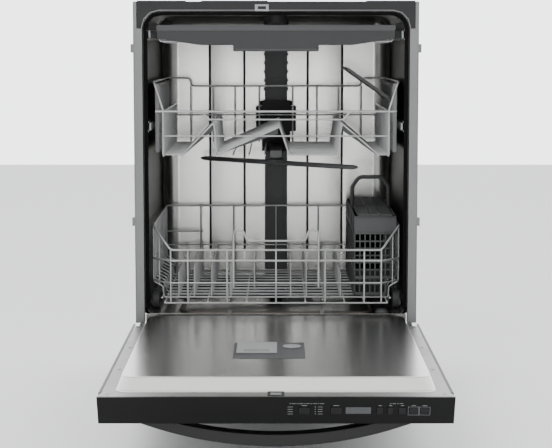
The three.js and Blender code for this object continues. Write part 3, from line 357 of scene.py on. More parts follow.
def dressed(
    piece: bpy.types.Object,
    finish: Finish,
    body: str,
    stands_for: Iterable[str] = (),
) -> bpy.types.Object:
    """Gives a piece its material, body and slot, and reports it.

    Args:
        piece: The finished object.
        finish: Its surface, put first in its material slots if it has none.
        body: CAD body that it rides on.
        stands_for: CAD nodes that it takes the place of.

    Returns:
        The same object.
    """
    if not piece.data.materials:
        piece.data.materials.append(finish.material())
    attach(piece, body)
    if stands_for:
        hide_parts(*stands_for)
    LOG.info("%s: %s, %d faces, rides on %s", piece.name, finish.name, len(piece.data.polygons), body)
    return piece


def carried(node: str, finish: Finish, round_mm: float = 0.0) -> None:
    """Gives a CAD node that stays its material, and rounded edges where it is asked for.

    Args:
        node: Name of the CAD node.
        finish: Its surface.
        round_mm: Width of the rounding of its edges, or 0 for none.
    """
    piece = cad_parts[node]
    piece.data.materials.clear()
    piece.data.materials.append(finish.material())
    if round_mm:
        bevelled(piece, round_mm)
    LOG.info("%s: carried over in %s", node, finish.name)


def add_box(shape: bmesh.types.BMesh, low: Point, high: Point) -> None:
    """Adds a box between two corners to a bmesh."""
    middle = (Vector(low) + Vector(high)) / 2
    size = Vector(high) - Vector(low)
    place = Matrix.Translation(middle) @ Matrix.Diagonal((*size, 1.0))
    bmesh.ops.create_cube(shape, size=1.0, matrix=place)


def add_loft(
    shape: bmesh.types.BMesh,
    rings: Sequence[Sequence[Point]],
    closed: bool = True,
    caps: bool = True,
) -> None:
    """Joins rings of equal length with faces.

    Args:
        shape: The bmesh to add to.
        rings: The rings in order.
        closed: Whether each ring closes on itself.
        caps: Whether the first and last rings are filled.
    """
    rows = [[shape.verts.new(point) for point in ring] for ring in rings]
    count = len(rows[0])
    last = count if closed else count - 1
    for low, high in zip(rows, rows[1:]):
        for i in range(last):
            j = (i + 1) % count
            shape.faces.new((low[i], low[j], high[j], high[i]))
    if caps:
        shape.faces.new(rows[0][::-1])
        shape.faces.new(rows[-1])


def add_lathe(
    shape: bmesh.types.BMesh,
    profile: Sequence[tuple[float, float]],
    centre: Point,
    axis: str = "Z",
    sides: int = 40,
) -> None:
    """Adds a turned form from a radius-height profile that starts and ends on the axis or closes.

    Args:
        shape: The bmesh to add to.
        profile: Radius and height pairs in millimetres.
        centre: Where height 0 lies, in metres.
        axis: "X", "Y" or "Z".
        sides: Faces round the axis.
    """
    turn = {"X": Matrix.Rotation(math.pi / 2, 4, "Y"), "Y": Matrix.Rotation(-math.pi / 2, 4, "X")}
    place = Matrix.Translation(centre) @ turn.get(axis, Matrix.Identity(4))
    rings = []
    for radius, height in profile:
        r, h = radius * MM, height * MM
        angles = (2 * math.pi * i / sides for i in range(sides))
        rings.append([tuple(place @ Vector((r * math.cos(a), r * math.sin(a), h))) for a in angles])
    add_loft(shape, rings, caps=False)


def rounded_rect(
    low: tuple[float, float],
    high: tuple[float, float],
    radius: float,
    steps: int = 6,
) -> list[tuple[float, float]]:
    """Points of a rectangle with round corners, anticlockwise.

    Args:
        low: Lowest corner.
        high: Highest corner.
        radius: Corner radius.
        steps: Points along each corner, less one.

    Returns:
        The outline's points.
    """
    corners = [
        (high[0] - radius, low[1] + radius, -90),
        (high[0] - radius, high[1] - radius, 0),
        (low[0] + radius, high[1] - radius, 90),
        (low[0] + radius, low[1] + radius, 180),
    ]
    points = []
    for x, y, start in corners:
        for i in range(steps + 1):
            angle = math.radians(start + 90 * i / steps)
            points.append((x + radius * math.cos(angle), y + radius * math.sin(angle)))
    return points


# ---------------------------------------------------------------- geometry nodes


class Tree:
    """A geometry node tree with named inputs, ending in Realize Instances and Set Material."""

    def __init__(self, name: str, sockets: dict[str, tuple[str, float | int]]) -> None:
        """Starts the tree.

        Args:
            name: Name of the tree.
            sockets: Input name to its socket type and default value.
        """
        self.tree = bpy.data.node_groups.new(name, "GeometryNodeTree")
        face = self.tree.interface
        face.new_socket("Geometry", in_out="INPUT", socket_type="NodeSocketGeometry")
        for label, (kind, value) in sockets.items():
            face.new_socket(label, in_out="INPUT", socket_type=kind).default_value = value
        face.new_socket("Material", in_out="INPUT", socket_type="NodeSocketMaterial")
        face.new_socket("Geometry", in_out="OUTPUT", socket_type="NodeSocketGeometry")
        self.inputs = add_node(self.tree, "NodeGroupInput").outputs

    def end(self, geometry: bpy.types.NodeSocket) -> bpy.types.NodeTree:
        """Closes the tree on a geometry socket and returns it."""
        smooth = add_node(self.tree, "GeometryNodeSetShadeSmooth", inputs={"Geometry": geometry})
        real = add_node(self.tree, "GeometryNodeRealizeInstances", inputs={"Geometry": smooth.outputs[0]})
        painted = add_node(
            self.tree,
            "GeometryNodeSetMaterial",
            inputs={"Geometry": real.outputs[0], "Material": self.inputs["Material"]},
        )
        add_node(self.tree, "NodeGroupOutput", inputs={"Geometry": painted.outputs[0]})
        return self.tree


def apply_tree(
    piece: bpy.types.Object,
    tree: bpy.types.NodeTree,
    finish: Finish,
    values: dict[str, float | int],
) -> bpy.types.Object:
    """Runs a tree on a piece and keeps the plain mesh that it makes.

    Args:
        piece: The object that the tree works on.
        tree: The geometry node tree.
        finish: Surface of the result.
        values: Input name to value.

    Returns:
        The finished mesh object.
    """
    modifier = piece.modifiers.new(tree.name, "NODES")
    modifier.node_group = tree
    for item in tree.interface.items_tree:
        if item.in_out != "INPUT":
            continue
        if item.name == "Material":
            modifier[item.identifier] = finish.material()
        elif item.name in values:
            modifier[item.identifier] = values[item.name]
    return settle(piece)


def wire_tree() -> bpy.types.NodeTree:
    """Bends every spline with a radius and gives it a round section.

    Returns:
        The tree, made once.
    """
    made = bpy.data.node_groups.get("bent_wires")
    if made:
        return made
    base = Tree(
        "bent_wires",
        {
            "Wire radius": ("NodeSocketFloat", 2 * MM),
            "Bend radius": ("NodeSocketFloat", 6 * MM),
            "Bend steps": ("NodeSocketInt", 3),
            "Sides": ("NodeSocketInt", 8),
        },
    )
    bends = add_node(
        base.tree,
        "GeometryNodeFilletCurve",
        {"mode": "POLY"},
        {
            "Curve": base.inputs["Geometry"],
            "Count": base.inputs["Bend steps"],
            "Radius": base.inputs["Bend radius"],
            "Limit Radius": True,
        },
    )
    section = add_node(
        base.tree,
        "GeometryNodeCurvePrimitiveCircle",
        inputs={"Resolution": base.inputs["Sides"], "Radius": base.inputs["Wire radius"]},
    )
    tube = add_node(
        base.tree,
        "GeometryNodeCurveToMesh",
        inputs={"Curve": bends.outputs[0], "Profile Curve": section.outputs[0], "Fill Caps": True},
    )
    return base.end(tube.outputs[0])


def wires(
    name: str,
    routes: Sequence[Route],
    finish: Finish,
    radius_mm: float,
    bend_mm: float = 7.0,
    sides: int = 8,
) -> bpy.types.Object:
    """Makes a set of bent wires.

    Args:
        name: Name of the piece.
        routes: Corner points of each wire; a route that ends where it starts is closed.
        finish: Surface of the wires.
        radius_mm: Radius of the wire.
        bend_mm: Radius of its bends.
        sides: Faces round the wire.

    Returns:
        The finished mesh object.
    """
    curve = bpy.data.curves.new(name, "CURVE")
    curve.dimensions = "3D"
    for route in routes:
        loop = len(route) > 3 and (Vector(route[0]) - Vector(route[-1])).length < 1e-7
        points = list(route[:-1] if loop else route)
        spline = curve.splines.new("POLY")
        spline.points.add(len(points) - 1)
        for point, place in zip(spline.points, points):
            point.co = (*place, 1.0)
        spline.use_cyclic_u = loop
    values = {"Wire radius": radius_mm * MM, "Bend radius": bend_mm * MM, "Sides": sides}
    return apply_tree(new_object(name, curve), wire_tree(), finish, values)


def row_tree() -> bpy.types.NodeTree:
    """Repeats the piece in rows and columns.

    Returns:
        The tree, made once.
    """
    made = bpy.data.node_groups.get("rows_and_columns")
    if made:
        return made
    base = Tree(
        "rows_and_columns",
        {
            "Columns": ("NodeSocketInt", 2),
            "Rows": ("NodeSocketInt", 1),
            "Column step": ("NodeSocketVector", (0.02, 0, 0)),
            "Row step": ("NodeSocketVector", (0, 0.02, 0)),
        },
    )
    row = add_node(
        base.tree,
        "GeometryNodeMeshLine",
        inputs={"Count": base.inputs["Columns"], "Offset": base.inputs["Column step"]},
    )
    line = add_node(
        base.tree,
        "GeometryNodeInstanceOnPoints",
        inputs={"Points": row.outputs[0], "Instance": base.inputs["Geometry"]},
    )
    column = add_node(
        base.tree,
        "GeometryNodeMeshLine",
        inputs={"Count": base.inputs["Rows"], "Offset": base.inputs["Row step"]},
    )
    block = add_node(
        base.tree,
        "GeometryNodeInstanceOnPoints",
        inputs={"Points": column.outputs[0], "Instance": line.outputs[0]},
    )
    return base.end(block.outputs[0])


def repeated(
    piece: bpy.types.Object,
    finish: Finish,
    columns: int,
    column_step: Point,
    rows: int = 1,
    row_step: Point = (0.0, 0.0, 0.0),
) -> bpy.types.Object:
    """Repeats a piece, which is already where its first copy goes.

    Args:
        piece: The first copy.
        finish: Surface of all copies.
        columns: Copies along the first step.
        column_step: Way from one column to the next.
        rows: Copies along the second step.
        row_step: Way from one row to the next.

    Returns:
        The finished mesh object.
    """
    values = {"Columns": columns, "Rows": rows, "Column step": column_step, "Row step": row_step}
    return apply_tree(piece, row_tree(), finish, values)


# ---------------------------------------------------------------- places

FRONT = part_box("door_gasket")[0].y - 21 * MM


def at(x: float, y: float, z: float) -> Point:
    """A point in metres from millimetres measured from the cabinet's front plane."""
    return x * MM, FRONT + y * MM, z * MM


def route(*points: Point) -> list[Point]:
    """Corner points in metres from millimetres measured from the cabinet's front plane."""
    return [at(*point) for point in points]


def span(side: int, near: float, far: float) -> tuple[float, float]:
    """Lowest and highest x of a stretch on one side, from its ends' distances to the middle."""
    low, high = sorted((side * near, side * far))
    return low, high


def steps(count: int, first: float, last: float) -> list[float]:
    """Evenly spaced values with both ends."""
    return [first + (last - first) * i / (count - 1) for i in range(count)]


def box_piece(name: str, boxes: Sequence[tuple[Point, Point]], round_mm: float) -> bpy.types.Object:
    """Makes a piece of boxes with rounded edges.

    Args:
        name: Name of the piece.
        boxes: Lowest and highest corner of each box, in millimetres from the front plane.
        round_mm: Width of the rounding.

    Returns:
        The finished mesh object.
    """
    shape = bmesh.new()
    for low, high in boxes:
        add_box(shape, at(*low), at(*high))
    piece = mesh_object(name, shape, smooth=False)
    return settle(bevelled(piece, round_mm)) if round_mm else piece


def turned_piece(
    name: str,
    profile: Sequence[tuple[float, float]],
    centre: Point,
    axis: str = "Z",
    sides: int = 40,
) -> bpy.types.Object:
    """Makes a turned piece from a profile in millimetres.

    Args:
        name: Name of the piece.
        profile: Radius and height pairs.
        centre: Where height 0 lies, in millimetres from the front plane.
        axis: Direction of the height.
        sides: Faces round the axis.

    Returns:
        The finished mesh object.
    """
    shape = bmesh.new()
    add_lathe(shape, profile, at(*centre), axis, sides)
    return mesh_object(name, shape)


# ---------------------------------------------------------------- cabinet


@dataclass
class Tub:
    """The stainless tub: one drawn shell with soft corners and pressed grooves in its back."""

    half: float = 277.2
    floor: float = 195.0
    ceiling: float = 846.7
    rear: float = 535.0
    corner: float = 42.0
    crown: float = 34.0
    foot: float = 38.0
    sheet: float = 1.6
    mouth_y: float = 1.5
    dam_y: float = 20.0
    dam_top: float = 222.0
    groove_x: tuple[float, ...] = (-161.0, -77.0, 77.0, 161.0)
    groove_low: float = 278.0
    groove_depth: float = 2.6
    sump_radius: float = 108.6
    hub: float = 273.0

    def plan(self, inset: float, front: float, grooved: bool) -> list[tuple[float, float]]:
        """The wall seen from above, from the left front round the back to the right front."""
        x, y, r = self.half - inset, self.rear - inset, self.corner - inset
        points = [(-x, yy) for yy in steps(6, front, self.rear - self.corner)]
        for i in range(1, 9):
            a = math.radians(180 - 90 * i / 8)
            points.append((-x + r + r * math.cos(a), y - r + r * math.sin(a)))
        depth = self.groove_depth if grooved else 0.0
        for g in self.groove_x:
            points += [(g - 3.2, y), (g - 1.8, y + depth), (g + 1.8, y + depth), (g + 3.2, y)]
        for i in range(9):
            a = math.radians(90 - 90 * i / 8)
            points.append((x - r + r * math.cos(a), y - r + r * math.sin(a)))
        points += [(x, yy) for yy in steps(6, self.rear - self.corner, front)[1:]]
        return points

    def section(self) -> list[tuple[float, float, bool]]:
        """Inset, height and whether the back is grooved, from the floor to the ceiling."""
        rows = []
        for i in range(9):
            a = math.radians(90 * i / 8)
            rows.append((self.foot * (1 - math.sin(a)), self.floor + self.foot * (1 - math.cos(a)), False))
        rows += [(0.0, self.groove_low - 3, False), (0.0, self.groove_low, True)]
        rows += [(0.0, z, True) for z in steps(8, self.groove_low + 40, self.ceiling - self.crown - 3)]
        for i in range(8):
            a = math.radians(90 * i / 7)
            inset = self.crown * (1 - math.cos(a))
            rows.append((inset, self.ceiling - self.crown + self.crown * math.sin(a), False))
        return rows

    def shell(self) -> bpy.types.Object:
        """Builds the drawn shell.

        Returns:
            The shell with its sheet's thickness, groove bottoms dark with painted shadow, and side walls
            painted darker as shade and duller.
        """
        shape = bmesh.new()
        rows = []
        for inset, z, grooved in self.section():
            front = self.dam_y if z < self.dam_top else self.mouth_y
            rows.append([shape.verts.new(at(x, y, z)) for x, y in self.plan(inset, front, grooved)])
        for low, high in zip(rows, rows[1:]):
            for i in range(len(low) - 1):
                shape.faces.new((low[i], low[i + 1], high[i + 1], high[i]))
        shape.faces.new(rows[-1])
        ring = []
        for i in range(48):
            a = 2 * math.pi * i / 48
            x, y = self.sump_radius * math.cos(a), self.hub + self.sump_radius * math.sin(a)
            ring.append(shape.verts.new(at(x, y, self.floor)))
        edges = [shape.edges.new((ring[i], ring[(i + 1) % 48])) for i in range(48)]
        edges += [shape.edges.get(pair) for pair in zip(rows[0], rows[0][1:])]
        edges.append(shape.edges.new((rows[0][-1], rows[0][0])))
        bmesh.ops.triangle_fill(shape, edges=edges, use_beauty=True)
        back = FRONT + (self.rear + self.groove_depth - 0.2) * MM
        # Faces beyond this line are the side walls, which take the darker steel as painted shade.
        wall = (self.half - 4) * MM
        for face in shape.faces:
            if all(vert.co.y > back for vert in face.verts):
                face.material_index = 1
            elif abs(face.calc_center_median().x) > wall:
                face.material_index = 2
        piece = mesh_object("tub_shell", shape)
        inside = Vector(at(0, self.hub, 520))
        mesh = piece.data
        facing = sum((inside - p.center).dot(p.normal) * p.area for p in mesh.polygons)
        if facing < 0:
            mesh.flip_normals()
        solid = piece.modifiers.new("Sheet", "SOLIDIFY")
        solid.thickness = self.sheet * MM
        solid.offset = -1.0
        piece.modifiers.new("Even", "WEIGHTED_NORMAL").weight = 80
        mesh.materials.append(TUB_STEEL.material())
        mesh.materials.append(GROOVE_DARK.material())
        mesh.materials.append(SHADED_WALL_STEEL.material())
        for polygon in mesh.polygons:
            polygon.use_smooth = True
        return settle(piece)

    def threshold(self) -> bpy.types.Object:
        """The dam behind the door, the wheel ledges and the rail channels."""
        boxes = [
            ((-278, 18, 173), (278, 20, 207)),
            ((-278, 1, 173), (278, 19, 175)),
        ]
        for side in (-1, 1):
            for low, high, y1, z0, z1 in (
                (250.2, 277.0, 515, 203.7, 206.7),
                (269.7, 277.0, 470, 595, 599),
                (269.7, 277.0, 470, 613, 617),
                (269.7, 277.0, 470, 788.7, 792.5),
                (269.7, 277.0, 470, 806.9, 810.7),
            ):
                x0, x1 = span(side, low, high)
                y0 = 20 if z0 < 210 else 34
                boxes.append(((x0, y0, z0), (x1, y1, z1)))
        return box_piece("tub_threshold_and_tracks", boxes, 0.8)

    def blanket(self) -> bpy.types.Object:
        """The sound blanket wrapped round the tub's sides, back and top."""
        shape = bmesh.new()
        rings = []
        for grow, z in ((1.8, 208), (5.2, 208), (5.2, 851.6), (1.8, 851.6)):
            rings.append([at(x, y, z) for x, y in self.plan(-grow, 24, False)])
        rings.append(rings[0])
        add_loft(shape, rings, closed=False, caps=False)
        count = len(rings[0])
        verts = list(shape.verts)
        for i in (0, count - 1):
            shape.faces.new([verts[i + count * k] for k in range(4)])
        top = [at(x, y, 849.2) for x, y in self.plan(-1.6, 24, False)]
        lid = [at(x, y, 852.4) for x, y in self.plan(-5.2, 24, False)]
        add_loft(shape, [top, lid])
        return mesh_object("sound_blanket", shape)

    def build(self) -> None:
        """Makes and dresses the tub's pieces."""
        dressed(self.shell(), TUB_STEEL, "cabinet", ["tub_liner"])
        dressed(self.threshold(), TUB_STEEL, "cabinet")
        dressed(self.blanket(), BLANKET_FELT, "cabinet")


@dataclass
class CabinetFront:
    """The frame round the tub's mouth with its seal, strike and screw plugs."""

    half: float = 298.5
    opening: float = 279.5
    top: float = 868.0
    strip: float = 19.0
    foot: float = 190.0
    depth: float = 22.0
    corner: float = 35.0
    split: float = 812.0
    header_half: float = 290.6
    edge_bead: float = 2.2
    plug_reach: float = 6.0
    plug_half: float = 9.0
    plug_heights: tuple[float, float] = (406.0, 771.0)
    lands: tuple[tuple[float, float], ...] = ((-290.0, -188.0), (-156.0, -17.0), (188.0, 290.0))
    lip_radius: float = 1.1
    tab: tuple[float, float] = (170.0, 200.0)
    seal_foot: float = 208.0
    seal_radius: float = 3.2
    seal_bend: float = 31.0
    seal_beads: tuple[tuple[float, float, float], ...] = (
        (24.6, 273.5, 843.0),
        (20.6, 276.0, 845.4),
        (28.6, 273.9, 843.4),
    )

    def side_strips(self) -> bpy.types.Object:
        """Both upright strips, each with a narrow return along its inner edge."""
        boxes = []
        for side in (-1, 1):
            x0, x1 = span(side, self.opening, self.half)
            boxes.append(((x0, 0, self.foot), (x1, self.depth, self.split)))
            x0, x1 = span(side, self.half - self.edge_bead, self.half)
            boxes.append(((x0, -0.9, self.foot), (x1, 1, self.split)))
            x0, x1 = span(side, self.header_half + 0.2, self.half)
            boxes.append(((x0, 0, self.split - 1), (x1, self.depth, self.top)))
            x0, x1 = span(side, self.half - 1, self.half + self.plug_reach)
            for z in self.plug_heights:
                boxes.append(((x0, 6, z - self.plug_half), (x1, 16, z + self.plug_half)))
        return box_piece("frame_side_strips", boxes, 0.9)

    def header(self) -> bpy.types.Object:
        """The top strip with its rounded inner corners and the raised lands on its edge."""
        shape = bmesh.new()
        low = self.split + 0.2
        inner = []
        for i in range(10):
            a = math.radians(90 * i / 9)
            x = self.opening - self.corner + self.corner * math.cos(a)
            inner.append((x, self.top - self.strip - self.corner + self.corner * math.sin(a)))
        inner = [(self.opening, low), *inner[1:]]
        edge = self.header_half
        outline = [(edge, low), (edge, self.top), (-edge, self.top), (-edge, low)]
        outline += [(-x, z) for x, z in inner] + inner[::-1]
        rings = [[at(x, y, z) for x, z in outline] for y in (0, self.depth)]
        add_loft(shape, rings)
        for x0, x1 in self.lands:
            add_box(shape, at(x0, 1, self.top - 0.4), at(x1, self.depth - 2, self.top + 1.8))
        piece = mesh_object("frame_header", shape, smooth=False)
        return settle(bevelled(piece, 0.9))

    def lip(self) -> bpy.types.Object:
        """The pale rolled edge round the mouth."""
        x, z = self.opening + 0.9, self.top - self.strip + 0.9
        edge = route((-x, 0.2, self.split), (-x, 0.2, z), (x, 0.2, z), (x, 0.2, self.split))
        bend = self.corner + 1
        return wires("frame_rolled_lip", [edge], FRAME_COAT, self.lip_radius, bend_mm=bend, sides=10)

    def strike(self) -> bpy.types.Object:
        """The strike loop that the door's bolt catches, and the two tabs for the worktop's screws."""
        z = self.top - 20
        boxes = [
            ((-44, -1.6, z), (-38, 1, z + 14)),
            ((-21, -1.6, z), (-15, 1, z + 14)),
            ((-38.5, -1.6, z), (-20.5, 1, z + 4)),
            ((-38.5, -1.6, z + 10), (-20.5, 1, z + 14)),
        ]
        for side in (-1, 1):
            x0, x1 = span(side, *self.tab)
            boxes.append(((x0, 21, self.top - 1.5), (x1, 54, self.top)))
        return box_piece("strike_and_counter_tabs", boxes, 0.4)

    def seal(self) -> bpy.types.Object:
        """Three rubber beads bent round the mouth."""
        foot = self.seal_foot
        beads = [
            route((-x, y, foot), (-x, y, top), (x, y, top), (x, y, foot)) for y, x, top in self.seal_beads
        ]
        return wires("door_seal_beads", beads, SEAL_RUBBER, self.seal_radius, self.seal_bend, 10)

    def build(self) -> None:
        """Makes and dresses the pieces round the mouth."""
        dressed(self.side_strips(), FRAME_COAT, "cabinet", ["front_frame"])
        dressed(self.header(), HEADER_COAT, "cabinet")
        dressed(self.lip(), FRAME_COAT, "cabinet")
        dressed(self.strike(), ZINC, "cabinet")
        dressed(self.seal(), SEAL_RUBBER, "cabinet", ["door_gasket"])


@dataclass
class WaterWorks:
    """The feed column, docking port, heater, filter and spray arms."""

    hub: float = 273.0
    column_half: float = 25.5
    clip_count: int = 8
    clip_pitch: float = 21.0
    clip_foot: float = 672.0
    clip_radius: float = 4.6
    heater_z: float = 200.5
    heater_half: float = 208.0
    heater_tail: float = 20.0
    heater_y: tuple[float, float] = (65.0, 485.0)
    blade_half: tuple[float, float] = (9.0, 15.5)
    blade_rise: float = 9.8
    blade_middle: float = 6.9
    tip: float = 4.0
    tip_share: float = 0.97
    hub_profile: tuple[tuple[float, float], ...] = (
        (6.6, 0.2),
        (20, 0.2),
        (21, 1.5),
        (21, 12),
        (18, 14.8),
        (6.6, 14.8),
        (6.6, 0.2),
    )
    arms: tuple[tuple[str, float, float, float], ...] = (
        ("lower_spray_arm", 234.0, 20.0, 206.0),
        ("upper_spray_arm", 231.0, -40.0, 505.0),
    )
    jet_shares: tuple[float, ...] = (-0.92, -0.78, -0.6, -0.42, -0.26, 0.2, 0.36, 0.54, 0.7, 0.86)

    def column_clips(self) -> bpy.types.Object:
        """Small round clips down both edges of the feed column."""
        shape = bmesh.new()
        r = self.clip_radius
        for side in (-1, 1):
            place = at(side * self.column_half, 517, self.clip_foot)
            add_lathe(shape, [(0, 0), (r, 0), (r, 13), (0, 13)], place, "Y", 14)
        first = mesh_object("column_clips", shape)
        return repeated(first, GREY_PP, self.clip_count, (0.0, 0.0, self.clip_pitch * MM))

    def column_ribs(self) -> bpy.types.Object:
        """Shallow ribs up the face of the feed column."""
        boxes = [((x - 1.0, 508.8, 210), (x + 1.0, 510.4, 505)) for x in (-18, 18)]
        boxes += [((-22, 508.6, z), (22, 510.4, z + 3)) for z in (300, 402, 700, 760)]
        return box_piece("column_ribs", boxes, 0.5)

    def port_collar(self) -> bpy.types.Object:
        """The ribbed collar round the docking port's outlet."""
        profile = [(8, 0), (19, 0), (20, 1.5), (20, 5), (16, 7), (8, 7), (8, 0)]
        return turned_piece("port_collar", profile, (0, 478.5, 532), "Y")

    def heater(self) -> bpy.types.Object:
        """The heating element's loop and its clips."""
        x, z, tail = self.heater_half, self.heater_z, self.heater_tail
        near, far = self.heater_y
        loop = route((-tail, far, z), (-x, far, z), (-x, near, z), (x, near, z), (x, far, z), (tail, far, z))
        return wires("heater_loop", [loop], HEATER_TUBE, 3.5, bend_mm=30, sides=12)

    def heater_clips(self) -> bpy.types.Object:
        """Clips that hold the heating element off the floor."""
        boxes = [((x - 4, y - 5, 195.3), (x + 4, y + 5, 205)) for x in (-100, 100) for y in self.heater_y]
        return box_piece("heater_clips", boxes, 0.8)

    def blade(self, name: str, reach: float, angle: float, low: float) -> bpy.types.Object:
        """A spray arm: a crowned blade round a hub.

        Args:
            name: Name of the piece.
            reach: Hub to tip.
            angle: Degrees from +X.
            low: Height of its underside.

        Returns:
            The arm's mesh.
        """
        shape = bmesh.new()
        edge, swell = self.blade_half
        rings = []
        for s in steps(33, -reach, reach):
            share = abs(s) / reach
            width = edge + swell * (1 - share**2) if share < self.tip_share else self.tip
            rise = self.blade_rise if share < self.tip_share else self.tip
            ring = []
            for i in range(16):
                a = 2 * math.pi * i / 16
                c, d = math.cos(a), math.sin(a)
                y = width * math.copysign(abs(c) ** 0.7, c)
                z = rise / 2 * math.copysign(abs(d) ** 0.6, d) + self.blade_middle
                ring.append((s, y, z))
            rings.append(ring)
        turn = Matrix.Rotation(math.radians(angle), 4, "Z")
        place = Matrix.Translation(at(0, self.hub, low)) @ turn @ Matrix.Scale(MM, 4)
        add_loft(shape, [[tuple(place @ Vector(p)) for p in ring] for ring in rings])
        add_lathe(shape, self.hub_profile, at(0, self.hub, low))
        return mesh_object(name, shape)

    def jets(self, name: str, reach: float, angle: float, low: float) -> bpy.types.Object:
        """Dark jet mouths along a spray arm's top, wandering a little to both sides."""
        shape = bmesh.new()
        turn = Matrix.Rotation(math.radians(angle), 4, "Z")
        profile = [(0, 0), (3.1, 0), (3.1, 1.5), (2.2, 2.0), (0, 2.0)]
        for s in self.jet_shares:
            spot = turn @ Vector((s * reach, 4.0 * math.sin(9 * s), 0))
            add_lathe(shape, profile, at(spot.x, self.hub + spot.y, low + 9.6), "Z", 12)
        return mesh_object(name, shape)

    def build(self) -> None:
        """Makes and dresses the water system."""
        carried("feed_column", GREY_PP, 3.0)
        carried("docking_port", BLACK_PP, 2.0)
        carried("sump", BLACK_PP)
        carried("filter_plate", TUB_STEEL)
        carried("filter_cup", GREY_PP, 0.6)
        carried("float_cap", GREY_PP, 0.8)
        carried("upper_arm_feed", ARM_PP, 1.8)
        dressed(self.column_clips(), GREY_PP, "cabinet")
        dressed(self.column_ribs(), GREY_PP, "cabinet")
        dressed(self.port_collar(), BLACK_PP, "cabinet")
        dressed(self.heater(), HEATER_TUBE, "cabinet", ["heating_element"])
        dressed(self.heater_clips(), ZINC, "cabinet")
        for name, reach, angle, low in self.arms:
            blade = self.blade(name + "_blade", reach, angle, low)
            dressed(blade, ARM_PP, name, [name])
            dressed(self.jets(name + "_jets", reach, angle, low), GROOVE_DARK, name)


@dataclass
class RunningGear:
    """What is under and behind: base, toe panel, legs, pumps and door springs."""

    spring_radius: float = 5.6
    spring_turns: int = 22
    spring_x: float = 283.0
    spring_y: float = 152.0
    spring_length: float = 116.0
    spring_z: float = 136.0
    wire: float = 0.9

    def spring(self, side: int) -> bpy.types.Object:
        """A coiled door spring on one side."""
        points = []
        r = self.spring_radius
        for i in range(self.spring_turns * 12 + 1):
            a = 2 * math.pi * i / 12
            y = self.spring_y + self.spring_length * i / (self.spring_turns * 12)
            points.append(at(side * self.spring_x + r * math.cos(a), y, self.spring_z + r * math.sin(a)))
        name = "door_spring_coil_" + ("left" if side < 0 else "right")
        return wires(name, [points], ZINC, self.wire, bend_mm=0.0, sides=6)

    def build(self) -> None:
        """Makes and dresses the running gear."""
        carried("base_frame", ZINC, 1.0)
        carried("toe_panel", BLACK_ENAMEL, 0.8)
        carried("wash_pump", BLACK_PP, 1.5)
        carried("drain_pump", BLACK_PP, 1.5)
        for end in ("front", "rear"):
            for side in ("left", "right"):
                carried(f"leg_{end}_{side}", BLACK_PP, 0.6)
        for side, word in ((-1, "left"), (1, "right")):
            dressed(self.spring(side), ZINC, "cabinet", [f"door_spring_{word}"])


# ---------------------------------------------------------------- door


